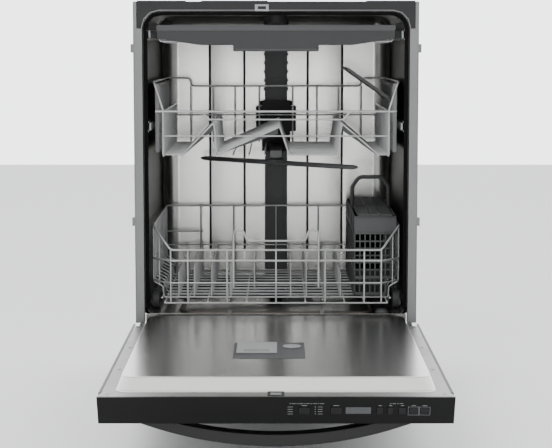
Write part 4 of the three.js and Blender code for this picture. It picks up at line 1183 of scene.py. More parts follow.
@dataclass
class Door:
    """The lowered door: soft-edged inner skin, enamelled outer panel and bow handle."""

    end: float = -698.0
    hinge: float = -9.0
    half: float = 303.0
    flange_half: float = 300.7
    flange: float = 188.0
    plateau_half: float = 276.0
    plateau: float = 207.0
    bevel: float = 40.0
    bevel_from_end: float = 38.0
    slope: float = 7.0
    corner: float = 24.0
    fillet: float = 0.12
    face: float = 137.0
    handle_half: float = 238.0
    handle_bow: float = 42.5
    handle_grip: float = 21.0
    handle_y: tuple[float, float] = (-665.0, -637.0)
    screw_x: float = 287.0
    screw_y: tuple[float, ...] = (-672.0, -470.0, -262.0, -60.0)

    def ring(self, inset: float, front_inset: float, z: float) -> list[Point]:
        """The raised field's outline at a height, inset from its foot at the sides and the front."""
        low = (-self.plateau_half + inset, self.end + self.bevel_from_end + front_inset)
        high = (self.plateau_half - inset, self.hinge)
        return [at(x, y, z) for x, y in rounded_rect(low, high, self.corner, 10)]

    def skin(self) -> bpy.types.Object:
        """The raised field: straight slopes between a small fillet at the foot and one at the brow."""
        shape = bmesh.new()
        rise = self.plateau - self.flange
        turn = self.fillet
        rings = [self.ring(0, 0, self.flange - 1.5)]
        for share in steps(6, 0.0, turn) + steps(6, 1 - turn, 1.0):
            if share <= turn:
                height = share * share / turn
            else:
                height = 1 - (1 - share) ** 2 / turn
            rings.append(self.ring(self.slope * share, self.bevel * share, self.flange + rise * height))
        rings.append(self.ring(self.slope + 2.5, self.bevel + 2.5, self.plateau))
        add_loft(shape, rings)
        piece = mesh_object("door_inner_skin", shape)
        piece.modifiers.new("Even", "WEIGHTED_NORMAL").weight = 80
        return settle(piece)

    def flange_sheet(self) -> bpy.types.Object:
        """The flat flange round the field."""
        low, wide, narrow = self.flange - 2, self.flange_half, self.plateau_half - 3
        boxes = [
            ((-wide, self.end + 7.3, low), (wide, -26, self.flange)),
            ((-narrow, -27, low), (narrow, self.hinge, self.flange)),
        ]
        return box_piece("door_flange", boxes, 0.4)

    def edge_wrap(self) -> bpy.types.Object:
        """The outer skin's edge, folded over the flange on both sides."""
        boxes = []
        for side in (-1, 1):
            x0, x1 = span(side, self.half - 4.4, self.half + 0.2)
            boxes.append(((x0, self.end + 31, self.flange - 1.4), (x1, -5, self.flange + 0.7)))
        return box_piece("door_edge_wrap", boxes, 0.6)

    def screws(self) -> bpy.types.Object:
        """Small countersunk screws down both flanges."""
        shape = bmesh.new()
        profile = [(0, -1.0), (3.6, -1.0), (3.6, 0.4), (2.6, 0.9), (1.1, 0.9), (1.1, 0.3), (0, 0.3)]
        for side in (-1, 1):
            for y in self.screw_y:
                add_lathe(shape, profile, at(side * self.screw_x, y, self.flange), "Z", 16)
        return mesh_object("flange_screws", shape)

    def handle(self) -> bpy.types.Object:
        """The bow handle, its ends running into the outer panel."""
        root = self.face - 0.3
        shape = bmesh.new()
        outline = []
        inner_half = self.handle_half - 65
        for half, bow, way in (
            (self.handle_half, self.handle_bow, 1),
            (inner_half, self.handle_bow - self.handle_grip, -1),
        ):
            radius = (half * half + bow * bow) / (2 * bow)
            centre = root - bow + radius
            sweep = math.asin(half / radius)
            for a in steps(45, -sweep * way, sweep * way):
                outline.append((radius * math.sin(a), centre - radius * math.cos(a)))
        add_loft(shape, [[at(x, y, z) for x, z in outline] for y in self.handle_y])
        return settle(bevelled(mesh_object("bow_handle", shape), 3.6, 4))

    def build(self) -> None:
        """Makes and dresses the door's pieces."""
        carried("door_outer_panel", BLACK_ENAMEL, 0.8)
        carried("hinge_arm_left", ZINC)
        carried("hinge_arm_right", ZINC)
        dressed(self.skin(), DOOR_STEEL, "door", ["door_inner_liner"])
        dressed(self.flange_sheet(), FLANGE_STEEL, "door")
        dressed(self.edge_wrap(), BLACK_ENAMEL, "door")
        dressed(self.screws(), ZINC, "door")
        dressed(self.handle(), BLACK_ENAMEL, "door", ["door_handle"])


@dataclass
class Console:
    """The control strip on the door's end: keys, lamps, legends and display window."""

    end: float = -698.0
    lean: float = 23.0
    top: float = 188.0
    foot: float = 137.0
    keys: dict[str, tuple[float, float]] = field(
        default_factory=lambda: {
            "key_cycle": (48, 19),
            "key_options": (102, 19),
            "key_heat": (176, 11),
            "key_rinse": (194, 10),
            "key_delay": (214, 12),
            "key_cancel": (233, 15),
            "key_start": (252, 15),
        }
    )

    boxed: tuple[str, ...] = ("key_cancel", "key_start")
    list_rows: tuple[float, ...] = tuple(steps(4, -7.4, 7.4))
    status_row: float = 14.5

    def frame(self) -> Matrix:
        """Turns millimetres across, up the face and outwards into metres in the scene."""
        rise = math.atan2(self.top - self.foot, -self.lean)
        middle = at(0, self.end + self.lean / 2, (self.top + self.foot) / 2)
        return Matrix.Translation(middle) @ Matrix.Rotation(rise, 4, "X") @ Matrix.Scale(MM, 4)

    def marks(self, name: str, places: Sequence[tuple[float, float, float, float]]) -> bpy.types.Object:
        """Thin printed marks.

        Args:
            name: Name of the piece.
            places: Centre across, centre up, width and height of each mark.

        Returns:
            The marks' mesh, 0.15 mm proud of the face.
        """
        shape = bmesh.new()
        place = self.frame()
        for x, v, width, height in places:
            cube = bmesh.ops.create_cube(shape, size=1.0)
            size = Matrix.Diagonal((width, height, 0.3, 1.0))
            move = place @ Matrix.Translation((x, v, 0.0)) @ size
            bmesh.ops.transform(shape, matrix=move, verts=cube["verts"])
        return mesh_object(name, shape, smooth=False)

    def legends(self) -> list[tuple[float, float, float, float]]:
        """Generic legends: a line over each key, frames round the boxed keys, and rows of short lines."""
        places = []
        for name, (x, width) in self.keys.items():
            places.append((x, 10.2, width * 0.5, 0.8))
            if name in self.boxed:
                places += [(x, v, width + 3, 0.4) for v in (-9.6, 7.4)]
                places += [(x + side * (width / 2 + 1.5), -1.1, 0.4, 17.0) for side in (-1, 1)]
        for row in self.list_rows:
            places += [(75, row, 8, 0.6), (24, row, 9, 0.6)]
        places += [(x, self.status_row, 7, 0.7) for x in (30, 42, 54, 66, 78)]
        places += [(x, self.status_row, 6, 0.7) for x in (200, 212)]
        return places

    def lamps(self) -> list[tuple[float, float, float, float]]:
        """Small indicator lamps beside the rows of lines."""
        places = [(66.5, row, 1.5, 1.5) for row in self.list_rows]
        places += [(x, self.status_row, 1.4, 1.4) for x in (24, 36, 48, 60, 72, 194, 206)]
        return places

    def build(self) -> None:
        """Makes and dresses the console's pieces."""
        carried("control_console", CONSOLE_ABS, 0.9)
        carried("display_window", WINDOW_ACRYLIC, 0.4)
        for name in self.keys:
            carried(name, KEY_ABS, 0.8)
        dressed(self.marks("key_legends", self.legends()), LEGEND_INK, "door")
        dressed(self.marks("indicator_lamps", self.lamps()), LIGHT_PP, "door")


@dataclass
class DoorFittings:
    """The dispenser and the latch on the door's inner side."""

    dispenser_x: tuple[float, float] = (-80.0, 54.0)
    dispenser_y: tuple[float, float] = (-465.0, -313.0)

    def ribs(self) -> bpy.types.Object:
        """Finger ribs across the detergent lid."""
        x, y = self.dispenser_x[0], self.dispenser_y[0]
        boxes = [((x + 20, y + 50 + 5 * i, 210.3), (x + 68, y + 52 + 5 * i, 211.4)) for i in range(5)]
        return box_piece("lid_ribs", boxes, 0.4)

    def build(self) -> None:
        """Makes and dresses the fittings."""
        carried("dispenser_body", GREY_PP, 1.2)
        carried("dispenser_lid", LIGHT_PP, 1.0)
        carried("rinse_cap", LIGHT_PP, 0.5)
        carried("latch_housing", BLACK_PP, 0.5)
        carried("latch_bolt", ZINC, 0.5)
        dressed(self.ribs(), LIGHT_PP, "dispenser_lid")


# ---------------------------------------------------------------- racks


@dataclass
class LowerRack:
    """The lower wire rack with its tines, wheels and fold-down row."""

    half: float = 265.7
    floor_half: float = 245.7
    front: float = 33.0
    rear: float = 502.0
    corner: float = 40.0
    floor: float = 230.0
    front_rim: float = 342.0
    side_rim: float = 390.0
    wire: float = 1.9
    rim_wire: float = 2.4
    tine_wire: float = 1.6
    hoop_z: tuple[float, float] = (271.0, 319.0)
    rear_z: tuple[float, float] = (294.0, 327.0)
    long_x: tuple[float, ...] = (-238, -189, -147, -105, -63, 0, 63, 105, 147, 189, 238)
    front_x: tuple[float, ...] = (-189, -105, 0, 105, 189)
    rear_x: tuple[float, ...] = (-183, -103, 0, 103, 183)
    wheel_x: float = 261.2
    wheel_y: tuple[float, float] = (99.0, 436.0)
    axle: float = 227.3
    wheel_radius: float = 20.2
    tine_rows: tuple[tuple[float, float, int], ...] = (
        (-212.0, 286.0, 13),
        (-178.0, 300.0, 13),
        (-140.0, 300.0, 13),
        (-98.0, 306.0, 10),
        (32.0, 306.0, 10),
        (66.0, 300.0, 13),
        (108.0, 300.0, 13),
        (140.0, 286.0, 13),
    )
    fold_x: float = -48.0
    fold_pivot: float = 238.5
    fold_half: float = 96.0
    fold_y: float = 267.5
    fold_rise: float = 70.0

    def loop(self, front_z: float, side_z: float) -> list[Point]:
        """A closed wire round the rack, cut off at the front corners and sloping down to the front."""
        nose = self.half - self.corner
        return route(
            (-nose, self.front, front_z),
            (nose, self.front, front_z),
            (self.half, self.front + self.corner, side_z),
            (self.half, self.rear, side_z),
            (-self.half, self.rear, side_z),
            (-self.half, self.front + self.corner, side_z),
            (-nose, self.front, front_z),
        )

    def hoop(self, z: float) -> list[Point]:
        """A level wire round the front and both sides."""
        nose = self.half - self.corner
        side = [(self.half, self.rear), (self.half, self.front + self.corner), (nose, self.front)]
        profile = [(-x, y) for x, y in side] + side[::-1]
        return route(*[(x, y, z) for x, y in profile])

    def cross(self, y: float, rim: float) -> list[Point]:
        """A wire across the floor, out over the wheels and up both sides."""
        side = [(self.half, rim), (self.half, 268), (self.floor_half, 257), (self.floor_half - 2, 233)]
        profile = [(-x, z) for x, z in side] + side[::-1]
        return route(*[(x, y, z) for x, z in profile])

    def upright(self, x: float, y: float, top: float) -> list[Point]:
        """A wire that stands on the floor."""
        return route((x, y, self.floor), (x, y, top))

    def rims(self) -> bpy.types.Object:
        """The rim and the hoop under it."""
        loops = [self.loop(self.front_rim, self.side_rim), self.hoop(self.hoop_z[1])]
        return wires("lower_rack_rims", loops, RACK_NYLON, self.rim_wire, 12, 10)

    def body(self) -> bpy.types.Object:
        """Floor and walls."""
        front, rear, nose = self.front, self.rear, self.half - self.corner
        made = [self.hoop(self.hoop_z[0])]
        made += [self.cross(y, self.side_rim) for y in steps(11, front + self.corner + 6, rear - 8)]
        made += [route((x, front, self.floor), (x, rear, self.floor)) for x in self.long_x]
        made += [self.upright(x, front, self.front_rim) for x in self.front_x]
        made += [self.upright(x, rear, self.side_rim) for x in self.rear_x]
        low, high = self.rear_z
        made.append(route((-self.half, rear, low), (self.half, rear, low)))
        made.append(route((-self.half, rear, high), (-177, rear, high)))
        made.append(route((-nose - 14, front, 227.5), (nose + 14, front, 227.5)))
        made.append(route((-self.floor_half, rear, self.floor), (self.floor_half, rear, self.floor)))
        for side in (-1, 1):
            x = side * self.floor_half
            made.append(route((x, front + 20, 236), (x, rear, 236)))
            made.append(route((side * nose, front, self.floor), (side * nose, front, self.front_rim)))
            corner = (side * (self.half - 14), front + 27)
            made.append(route((*corner, 262), (*corner, 372)))
        return wires("lower_rack_wires", made, RACK_NYLON, self.wire, 5, 8)

    def handle(self) -> bpy.types.Object:
        """The pull loop on the front wall."""
        profile = [(91, 262), (91, 384), (70, 384), (62, 362)]
        points = [(-x, z) for x, z in profile] + profile[::-1]
        loop = route(*[(x, self.front - 1.5, z) for x, z in points])
        return wires("lower_rack_handle", [loop], RACK_NYLON, 2.3, 8, 10)

    def tines(self) -> bpy.types.Object:
        """Fixed rows of tines, tipped a little to the back."""
        made = []
        for x, top, count in self.tine_rows:
            for y in steps(count, self.front + 48, self.rear - 44):
                made.append(route((x, y, self.floor + 2), (x, y + 9, top)))
        return wires("lower_rack_tines", made, RACK_NYLON, self.tine_wire, 0, 8)

    def fold(self) -> bpy.types.Object:
        """The row that folds down, on its own shaft."""
        x, pivot = self.fold_x, self.fold_pivot
        first, last = self.fold_y - self.fold_half, self.fold_y + self.fold_half
        shaft = route((x, first - 8, pivot), (x, last + 8, pivot))
        row = [route((x, y, pivot), (x, y, pivot + self.fold_rise)) for y in steps(9, first, last)]
        return wires("fold_row", [shaft, *row], RACK_NYLON, 2.0, 0, 10)

    def wheel(self, side: int, y: float, name: str) -> bpy.types.Object:
        """A wheel with a tyre, a web, a hub and six ribs."""
        r = self.wheel_radius
        shape = bmesh.new()
        centre = at(side * self.wheel_x, y, self.axle)
        profile = [
            (3.4, -5.5), (7, -5.5), (7, -2), (r - 4.5, -2), (r - 4.5, -7), (r - 1.2, -7.4), (r, -6), (r, 6),
            (r - 1.2, 7.4), (r - 4.5, 7), (r - 4.5, 2), (7, 2), (7, 5.5), (3.4, 5.5), (3.4, -5.5),
        ]
        add_lathe(shape, profile, centre, "X", 44)
        for i in range(6):
            turn = Matrix.Rotation(math.pi * i / 3, 4, "X")
            cube = bmesh.ops.create_cube(shape, size=1.0)
            size = Matrix.Diagonal((9 * MM, (r - 10) * MM, 1.8 * MM, 1.0))
            shift = Matrix.Translation((0, (r + 2) / 2 * MM, 0))
            move = Matrix.Translation(centre) @ turn @ shift @ size
            bmesh.ops.transform(shape, matrix=move, verts=cube["verts"])
        return settle(bevelled(mesh_object(name, shape, smooth=False), 0.4, 2))

    def axles(self) -> bpy.types.Object:
        """Stub axles and their moulded carriers."""
        shape = bmesh.new()
        for side in (-1, 1):
            for y in self.wheel_y:
                x, _ = span(side, 240, 268)
                add_lathe(shape, [(0, 0), (3, 0), (3, 28), (0, 28)], at(x, y, self.axle), "X", 16)
                x0, x1 = span(side, 240.5, 247)
                add_box(shape, at(x0, y - 13, self.axle - 7), at(x1, y + 13, self.axle + 22))
        return settle(bevelled(mesh_object("wheel_carriers", shape, smooth=False), 0.8))

    def build(self) -> None:
        """Makes and dresses the rack's pieces."""
        dressed(self.rims(), RACK_NYLON, "lower_rack", ["lower_rack"])
        dressed(self.body(), RACK_NYLON, "lower_rack")
        dressed(self.handle(), RACK_NYLON, "lower_rack")
        dressed(self.tines(), RACK_NYLON, "lower_rack")
        dressed(self.fold(), RACK_NYLON, "fold_down_tines", ["fold_down_tines"])
        dressed(self.axles(), GREY_PP, "lower_rack")
        for end, y in zip(("front", "rear"), self.wheel_y):
            for side, word in ((-1, "left"), (1, "right")):
                node = f"rack_wheel_{end}_{word}"
                wheel = self.wheel(side, y, node + "_moulding")
                dressed(wheel, GREY_PP, node, [node])


@dataclass
class Basket:
    """The cutlery basket: slotted walls on ribs, slatted lids and an arched handle."""

    left: float = 169.1
    right: float = 261.0
    step_x: float = 240.7
    step_z: float = 273.0
    front: float = 76.0
    rear: float = 470.0
    bottom: float = 236.5
    top: float = 410.0
    shoulder: float = 372.0
    wall: float = 2.4
    divider_y: tuple[float, float] = (207.3, 338.7)
    handle_top: float = 479.0

    def walls(self) -> bpy.types.Object:
        """Walls as a lattice of posts and bars between solid bands at the foot, the step and the top."""
        boxes = []
        w = self.wall
        levels = [(self.bottom, self.bottom + 8), (self.step_z, self.step_z + 7), (self.shoulder, self.top)]
        levels += [(z, z + 3.4) for z in steps(7, self.bottom + 24, self.shoulder - 18)]
        for z0, z1 in levels:
            right = self.right if z0 >= self.step_z else self.step_x
            for y in (self.front, self.rear - w):
                boxes.append(((self.left, y, z0), (right, y + w, z1)))
            for x in (self.left, right - w):
                boxes.append(((x, self.front, z0), (x + w, self.rear, z1)))
        for x in steps(9, self.left, self.right - 3.2):
            low = self.bottom if x < self.step_x - 3 else self.step_z
            for y in (self.front, self.rear - w):
                boxes.append(((x, y + 0.2, low), (x + 3.2, y + w - 0.2, self.shoulder + 1)))
        walls = [(self.left, self.bottom, self.shoulder), (self.step_x - w, self.bottom, self.step_z)]
        walls.append((self.right - w, self.step_z, self.shoulder))
        for y in steps(34, self.front, self.rear - 3.2):
            for x, low, high in walls:
                boxes.append(((x + 0.2, y, low), (x + w - 0.2, y + 3.2, high + 1)))
            boxes.append(((self.step_x - w, y, self.step_z), (self.right, y + 3.2, self.step_z + 2)))
        for y in self.divider_y:
            boxes.append(((self.left, y - w / 2, self.bottom), (self.step_x, y + w / 2, self.top - 4)))
            boxes.append(((self.left, y - w / 2, self.step_z), (self.right, y + w / 2, self.top - 4)))
        for y0, y1, z0, z1 in (
            (self.front - 1.2, self.front + 1, self.shoulder + 4, self.top - 6),
            (self.front, self.front + w, self.step_z + 36, self.step_z + 44),
        ):
            boxes.append(((self.left, y0, z0), (self.right, y1, z1)))
        return box_piece("basket_lattice", boxes, 0.5)

    def collar(self) -> bpy.types.Object:
        """A rounded bead round the top and one at the shoulder."""
        made = []
        for z in (self.top - 1.5, self.shoulder):
            made.append(
                route(
                    (self.left + 1, self.front + 1, z),
                    (self.right - 1, self.front + 1, z),
                    (self.right - 1, self.rear - 1, z),
                    (self.left + 1, self.rear - 1, z),
                    (self.left + 1, self.front + 1, z),
                )
            )
        return wires("basket_beads", made, GREY_PP, 1.9, 6, 10)

    def floor(self) -> bpy.types.Object:
        """A grid floor."""
        z, bar = self.bottom, self.wall
        right, rear = self.step_x - bar, self.rear - bar
        boxes = [((x, self.front, z), (x + bar, self.rear, z + bar)) for x in steps(9, self.left, right)]
        boxes += [((self.left, y, z), (right, y + bar, z + 2.0)) for y in steps(40, self.front, rear)]
        return box_piece("basket_floor", boxes, 0.0)

    def arch(self) -> bpy.types.Object:
        """The carrying handle."""
        y = (self.front + self.rear) / 2
        left, right, top = self.left + 5, self.right - 5, self.handle_top
        points = route(
            (left, y, self.top - 30), (left, y, top - 22), (left + 16, y, top), (right - 16, y, top),
            (right, y, top - 22), (right, y, self.top - 30),
        )
        return wires("basket_handle", [points], GREY_PP, 4.6, 14, 14)

    def lid(self, name: str, y0: float, y1: float, low: float) -> bpy.types.Object:
        """A lid: a rim with slats across it and two ribs along it.

        Args:
            name: Name of the piece.
            y0: Its front.
            y1: Its rear.
            low: Height of its underside.

        Returns:
            The lid's mesh.
        """
        x0, x1 = self.left + 7, self.right - 7
        high = self.top + 4
        boxes = [
            ((x0, y0, low), (x0 + 4, y1, high)),
            ((x1 - 4, y0, low), (x1, y1, high)),
            ((x0, y0, low), (x1, y0 + 4, high)),
            ((x0, y1 - 4, low), (x1, y1, high)),
            ((x0 + 26, y0, low), (x0 + 29, y1, high - 0.6)),
            ((x1 - 29, y0, low), (x1 - 26, y1, high - 0.6)),
        ]
        boxes += [((x0 + 2, y, low), (x1 - 2, y + 3.6, high - 0.4)) for y in steps(16, y0 + 8, y1 - 11)]
        return box_piece(name, boxes, 0.5)

    def build(self) -> None:
        """Makes and dresses the basket's pieces."""
        middle = (self.front + self.rear) / 2
        dressed(self.walls(), GREY_PP, "cutlery_basket", ["cutlery_basket"])
        dressed(self.collar(), GREY_PP, "cutlery_basket")
        dressed(self.floor(), GREY_PP, "cutlery_basket")
        dressed(self.arch(), GREY_PP, "cutlery_basket")
        fixed = self.lid("basket_fixed_lid", middle + 10, self.rear - 4, self.top)
        dressed(fixed, GREY_PP, "cutlery_basket")
        lid = self.lid("basket_front_lid", self.front + 4, middle - 10, self.top + 0.6)
        dressed(lid, GREY_PP, "basket_lid", ["basket_lid"])


@dataclass
class UpperRack:
    """The upper wire rack with ridges, side adjusters and the cup shelf; its arm's feed is dressed with the
    water system.
    """

    half: float = 261.7
    floor_half: float = 239.7
    front: float = 33.0
    rear: float = 467.0
    floor: float = 546.5
    front_rim: float = 638.0
    side_rim: float = 700.0
    rear_rim: float = 681.0
    rear_half: float = 204.0
    wire: float = 1.8
    rim_wire: float = 2.4
    long_x: tuple[float, ...] = (-239, -219, -199, -126, -92, -58, -24, 28, 62, 96, 130, 217, 239)
    rear_x: tuple[float, ...] = (-204, -150, -98, -40, 40, 98, 150, 204)
    dip: tuple[float, float, float] = (158.0, 142.0, 17.0)
    rests: tuple[tuple[float, float, float], ...] = ((-196, -133, 63), (-122, 4, 54), (144, 213, 60))
    plate_z: tuple[float, float] = (547.0, 695.5)
    plate: float = 11.0
    shelf_x: float = 245.2
    shelf_y: tuple[float, float] = (108.0, 398.0)
    shelf_z: float = 661.4
    shelf_length: float = 112.0
    shelf_thick: float = 6.0
    shelf_tilt: float = 35.0

    def ridge(self, y: float) -> list[Point]:
        """A wire across the rack whose floor rises into steep ridges."""
        f = self.floor
        profile = [
            (-self.floor_half, self.front_rim), (-self.floor_half, f), (-199, f), (-132, f + 68), (-126, f),
            (8, f + 59), (28, f), (130, f), (140, f + 66), (217, f), (self.floor_half, f),
            (self.floor_half, self.front_rim),
        ]
        return route(*[(x, y, z) for x, z in profile])

    def rims(self) -> bpy.types.Object:
        """Side rims that sweep down to the front rim, and the stepped rear rim."""
        made = []
        x = self.half - 2
        for side in (-1, 1):
            made.append(
                route(
                    (side * self.floor_half, self.front, self.floor),
                    (side * self.floor_half, self.front, self.front_rim + 4),
                    (side * x, self.front + 16, self.side_rim),
                    (side * x, self.rear, self.side_rim),
                )
            )
        rear = [(x, self.side_rim), (self.rear_half, self.side_rim), (self.rear_half, self.rear_rim)]
        profile = [(-a, z) for a, z in rear] + rear[::-1]
        made.append(route(*[(a, self.rear, z) for a, z in profile]))
        made.append(route((-x + 4, self.front, self.front_rim), (x - 4, self.front, self.front_rim)))
        return wires("upper_rack_rims", made, RACK_NYLON, self.rim_wire, 9, 10)

    def body(self) -> bpy.types.Object:
        """Ridged cross wires, long wires and the front and rear walls."""
        front, rear = self.front, self.rear
        made = [self.ridge(y) for y in steps(12, front + 2, rear - 2)]
        for x in self.long_x:
            made.append(route((x, front, self.floor - 2.4), (x, rear, self.floor - 2.4)))
        far, near, drop = self.dip
        dip = [(-far, self.front_rim), (-near, self.front_rim - drop), (near, self.front_rim - drop)]
        made.append(route(*[(x, front - 1, z) for x, z in (*dip, (far, self.front_rim))]))
        made.append(route((-self.floor_half, front - 1, 586), (self.floor_half, front - 1, 586)))
        for x in self.rear_x:
            made.append(route((x, rear, self.floor), (x, rear, self.rear_rim)))
        made.append(route((-self.floor_half, rear, 612), (self.floor_half, rear, 612)))
        for side in (-1, 1):
            x = side * self.floor_half
            made.append(route((x, front, self.front_rim), (x, rear, self.front_rim)))
        return wires("upper_rack_wires", made, RACK_NYLON, self.wire, 3, 8)

    def combs(self) -> bpy.types.Object:
        """Moulded wedges clipped along the ridges, with notches for stems."""
        shape = bmesh.new()
        f = self.floor
        for x0, x1, rise in self.rests:
            for y in steps(5, 70, 400):
                foot = x1 if x0 < 100 else x0
                lean = x0 if x0 < 100 else x1
                outline = [(lean, f + 2.5), (foot, f + rise), (foot, f + rise - 12), (lean, f - 1)]
                add_loft(shape, [[at(x, yy, z) for x, z in outline] for yy in (y, y + 5)])
        return settle(bevelled(mesh_object("stem_rests", shape, smooth=False), 0.6))

    def adjuster(self, side: int) -> bpy.types.Object:
        """A side plate with slots, ribs and a ledge along its foot."""
        x1 = self.half + 0.5
        x0 = x1 - self.plate
        low_x, high_x = span(side, x0, x1)
        y0, y1 = self.front + 60, self.rear - 40
        z0, z1 = self.plate_z
        boxes = []
        for a, b, low, high in (
            (y0, y1, z0, z0 + 40), (y0, y1, z0 + 60, z1), (y0, y0 + 40, z0 + 39, z0 + 61),
            (y0 + 130, self.rear - 190, z0 + 39, z0 + 61), (self.rear - 80, y1, z0 + 39, z0 + 61),
        ):
            boxes.append(((low_x + 1.5, a, low), (high_x - 1.5, b, high)))
        inner = span(side, x0, x0 + 2)
        for z in (z0 + 4, z0 + 34, z0 + 64, z1 - 8):
            boxes.append(((inner[0], y0 + 6, z), (inner[1], y1 - 6, z + 3)))
        for y in steps(9, y0 + 8, y1 - 12):
            boxes.append(((inner[0], y, z0 + 66), (inner[1], y + 3, z1 - 6)))
        outer = span(side, x1 - 2, x1)
        boxes.append(((outer[0], y0 + 2, z0 + 2), (outer[1], y1 - 2, z0 + 12)))
        return box_piece("adjuster_plate_" + ("left" if side < 0 else "right"), boxes, 0.9)

    def shelf(self) -> bpy.types.Object:
        """The cup shelf, tipped up: a slatted panel on a pivot bar."""
        y0, y1 = self.shelf_y
        length = self.shelf_length
        shape = bmesh.new()
        thick = self.shelf_thick
        boxes = [
            ((-length, y0, 0), (-length + 9, y1, thick)),
            ((-14, y0, 0), (0, y1, thick)),
            ((-length, y0, 0), (0, y0 + 7, thick)),
            ((-length, y1 - 7, 0), (0, y1, thick)),
        ]
        boxes += [((-length + 4, y, 0.8), (-6, y + 7, thick - 0.8)) for y in steps(12, y0 + 22, y1 - 29)]
        boxes += [((x, y0 + 3, 1.6), (x + 6, y1 - 3, thick - 1.6)) for x in (-80, -50)]
        for low, high in boxes:
            add_box(shape, tuple(v * MM for v in low), tuple(v * MM for v in high))
        add_lathe(shape, [(0, y0), (4, y0), (4, y1), (0, y1)], (0, 0, 1.7 * MM), "Y", 16)
        place = Matrix.Translation(at(self.shelf_x, 0, self.shelf_z - 1.4))
        turn = Matrix.Rotation(math.radians(self.shelf_tilt), 4, "Y")
        bmesh.ops.transform(shape, matrix=place @ turn, verts=shape.verts)
        return settle(bevelled(mesh_object("cup_shelf_panel", shape, smooth=False), 0.6))

    def build(self) -> None:
        """Makes and dresses the rack's pieces."""
        dressed(self.rims(), RACK_NYLON, "upper_rack", ["upper_rack"])
        dressed(self.body(), RACK_NYLON, "upper_rack")
        dressed(self.combs(), GREY_PP, "upper_rack")
        for side, word in ((-1, "left"), (1, "right")):
            plate = self.adjuster(side)
            dressed(plate, LIGHT_PP, "upper_rack", [f"rack_adjuster_{word}"])
        dressed(self.shelf(), GREY_PP, "cup_shelf", ["cup_shelf"])


@dataclass
class ThirdRack:
    """The shallow third rack, its front trim and the slides of both upper racks."""

    half: float = 250.2
    top: float = 819.7
    trim_y: float = 20.0
    depth: float = 400.0
    band_depth: float = 12.0
    step_x: tuple[float, float] = (160.0, 90.0)
    drops: tuple[float, float, float] = (28.0, 42.0, 55.0)
    wire: float = 1.7

    def trim(self) -> bpy.types.Object:
        """The front trim: a lighter top band over a face that steps down to the middle."""
        shape = bmesh.new()
        h, t = self.half, self.top
        outer, inner = self.step_x
        side, middle, grip = (t - drop for drop in self.drops)
        low = [(h, t - self.band_depth), (h, side), (outer, middle), (inner, middle), (inner, grip)]
        outline = [*low, *[(-x, z) for x, z in low[::-1]]]
        add_loft(shape, [[at(x, y, z) for x, z in outline] for y in (self.trim_y + 0.6, self.trim_y + 5)])
        return settle(bevelled(mesh_object("third_rack_face", shape), 1.2, 3))

    def band(self) -> bpy.types.Object:
        """The trim's top band and the grip under the middle."""
        h, t, y = self.half, self.top, self.trim_y
        boxes = [((-h, y, t - 12.5), (h, y + 5, t)), ((-86, y, t - 54), (86, y + 2, t - 50))]
        return box_piece("third_rack_band", boxes, 1.6)

    def tray(self) -> bpy.types.Object:
        """Fine wires of the tray."""
        y0, y1 = self.trim_y + 8, self.trim_y + self.depth
        rim, floor = self.top - 6, self.top - 36
        h = self.half
        made = [route((-h, y0, rim), (h, y0, rim), (h, y1, rim), (-h, y1, rim), (-h, y0, rim))]
        for y in steps(24, y0 + 2, y1 - 2):
            made.append(
                route((-h, y, rim), (-h + 6, y, floor + 2), (h - 6, y, floor + 2), (h, y, rim))
            )
        for x in steps(12, -h + 14, h - 14):
            made.append(route((x, y0, rim), (x, y0 + 4, floor), (x, y1 - 4, floor), (x, y1, rim)))
        return wires("third_rack_tray", made, RACK_NYLON, self.wire, 4, 8)

    def slides(self) -> None:
        """Gives the slides their zinc finish and rounded edges."""
        for rack in ("upper", "third"):
            for side in ("left", "right"):
                carried(f"{rack}_slide_{side}", ZINC, 0.8)

    def build(self) -> None:
        """Makes and dresses the rack's pieces."""
        dressed(self.trim(), TRIM_PP, "third_rack", ["third_rack_trim"])
        dressed(self.band(), BAND_PP, "third_rack")
        dressed(self.tray(), RACK_NYLON, "third_rack", ["third_rack"])
        self.slides()


# ---------------------------------------------------------------- studio


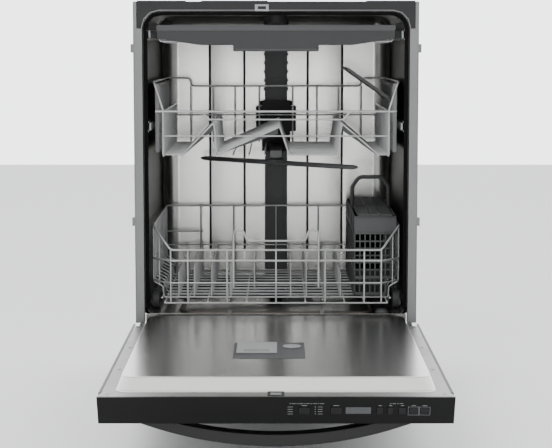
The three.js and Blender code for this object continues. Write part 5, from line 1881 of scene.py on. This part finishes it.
@dataclass
class Studio:
    """Floor, lights, sky and the camera."""

    floor_half: float = 7.0
    camera: Point = (0.0, -3.2152, 0.777)
    pitch: float = 6.53
    lens: float = 101.74
    dim: float = 0.32
    bright: float = 4.0
    lamps: tuple[tuple[str, Point, Point, tuple[float, float], float], ...] = (
        ("key_light", (-1.4, -2.2, 3.0), (0, 0, 0.45), (1.8, 1.8), 70),
        ("fill_light", (2.2, -2.2, 2.2), (0, 0.1, 0.45), (1.8, 1.8), 34),
        ("front_panel", (0, -5.0, 1.0), (0, 0.5, 0.6), (0.45, 1.9), 30),
    )

    def floor(self) -> None:
        """A plain pale floor under the machine."""
        shape = bmesh.new()
        h = self.floor_half
        shape.faces.new([shape.verts.new(p) for p in ((-h, -h, 0), (h, -h, 0), (h, h, 0), (-h, h, 0))])
        piece = mesh_object("studio_floor", shape, smooth=False)
        piece.data.materials.append(STUDIO_FLOOR.material())

    def light(
        self, name: str, place: Point, aim: Point, size: tuple[float, float], power: float
    ) -> None:
        """Adds a soft panel light.

        Args:
            name: Name of the light.
            place: Where it hangs.
            aim: What it points at.
            size: Its width and height in metres.
            power: Watts.
        """
        lamp = bpy.data.lights.new(name, "AREA")
        lamp.shape = "RECTANGLE"
        lamp.size, lamp.size_y = size
        lamp.energy = power
        piece = new_object(name, lamp)
        piece.location = place
        piece.rotation_euler = (Vector(aim) - Vector(place)).to_track_quat("-Z", "Y").to_euler()

    def sky(self) -> None:
        """Surroundings that are bright behind the machine and dim in front of it."""
        world = bpy.data.worlds.new("studio_sky")
        world.use_nodes = True
        tree = world.node_tree
        ahead = add_node(
            tree,
            "ShaderNodeSeparateXYZ",
            inputs={0: add_node(tree, "ShaderNodeTexCoord").outputs["Generated"]},
        ).outputs["Y"]
        strength = add_node(
            tree,
            "ShaderNodeMapRange",
            inputs={
                "Value": ahead,
                "From Min": -0.3,
                "From Max": 0.8,
                "To Min": self.dim,
                "To Max": self.bright,
            },
        ).outputs["Result"]
        background = tree.nodes["Background"]
        background.inputs["Color"].default_value = linear("f4f5f6")
        tree.links.new(strength, background.inputs["Strength"])
        bpy.context.scene.world = world

    def shoot(self) -> None:
        """The camera, a little above the open machine and straight in front of it."""
        lens = bpy.data.cameras.new("camera")
        lens.lens = self.lens
        lens.sensor_width = 36.0
        piece = new_object("camera", lens)
        piece.location = self.camera
        piece.rotation_euler = (math.radians(90 - self.pitch), 0, 0)
        bpy.context.scene.camera = piece

    def build(self) -> None:
        """Sets up the whole studio."""
        self.floor()
        self.sky()
        for name, place, aim, size, power in self.lamps:
            self.light(name, place, aim, size, power)
        self.shoot()


# ---------------------------------------------------------------- assembly


def main() -> None:
    """Builds every sub-assembly in order, then the studio."""
    logging.basicConfig(level=logging.INFO, format="%(message)s")
    for part in (
        RunningGear(),
        Tub(),
        CabinetFront(),
        WaterWorks(),
        Door(),
        Console(),
        DoorFittings(),
        LowerRack(),
        Basket(),
        UpperRack(),
        ThirdRack(),
        Studio(),
    ):
        LOG.info("building %s", type(part).__name__)
        part.build()


if __name__ == "__main__":
    main()
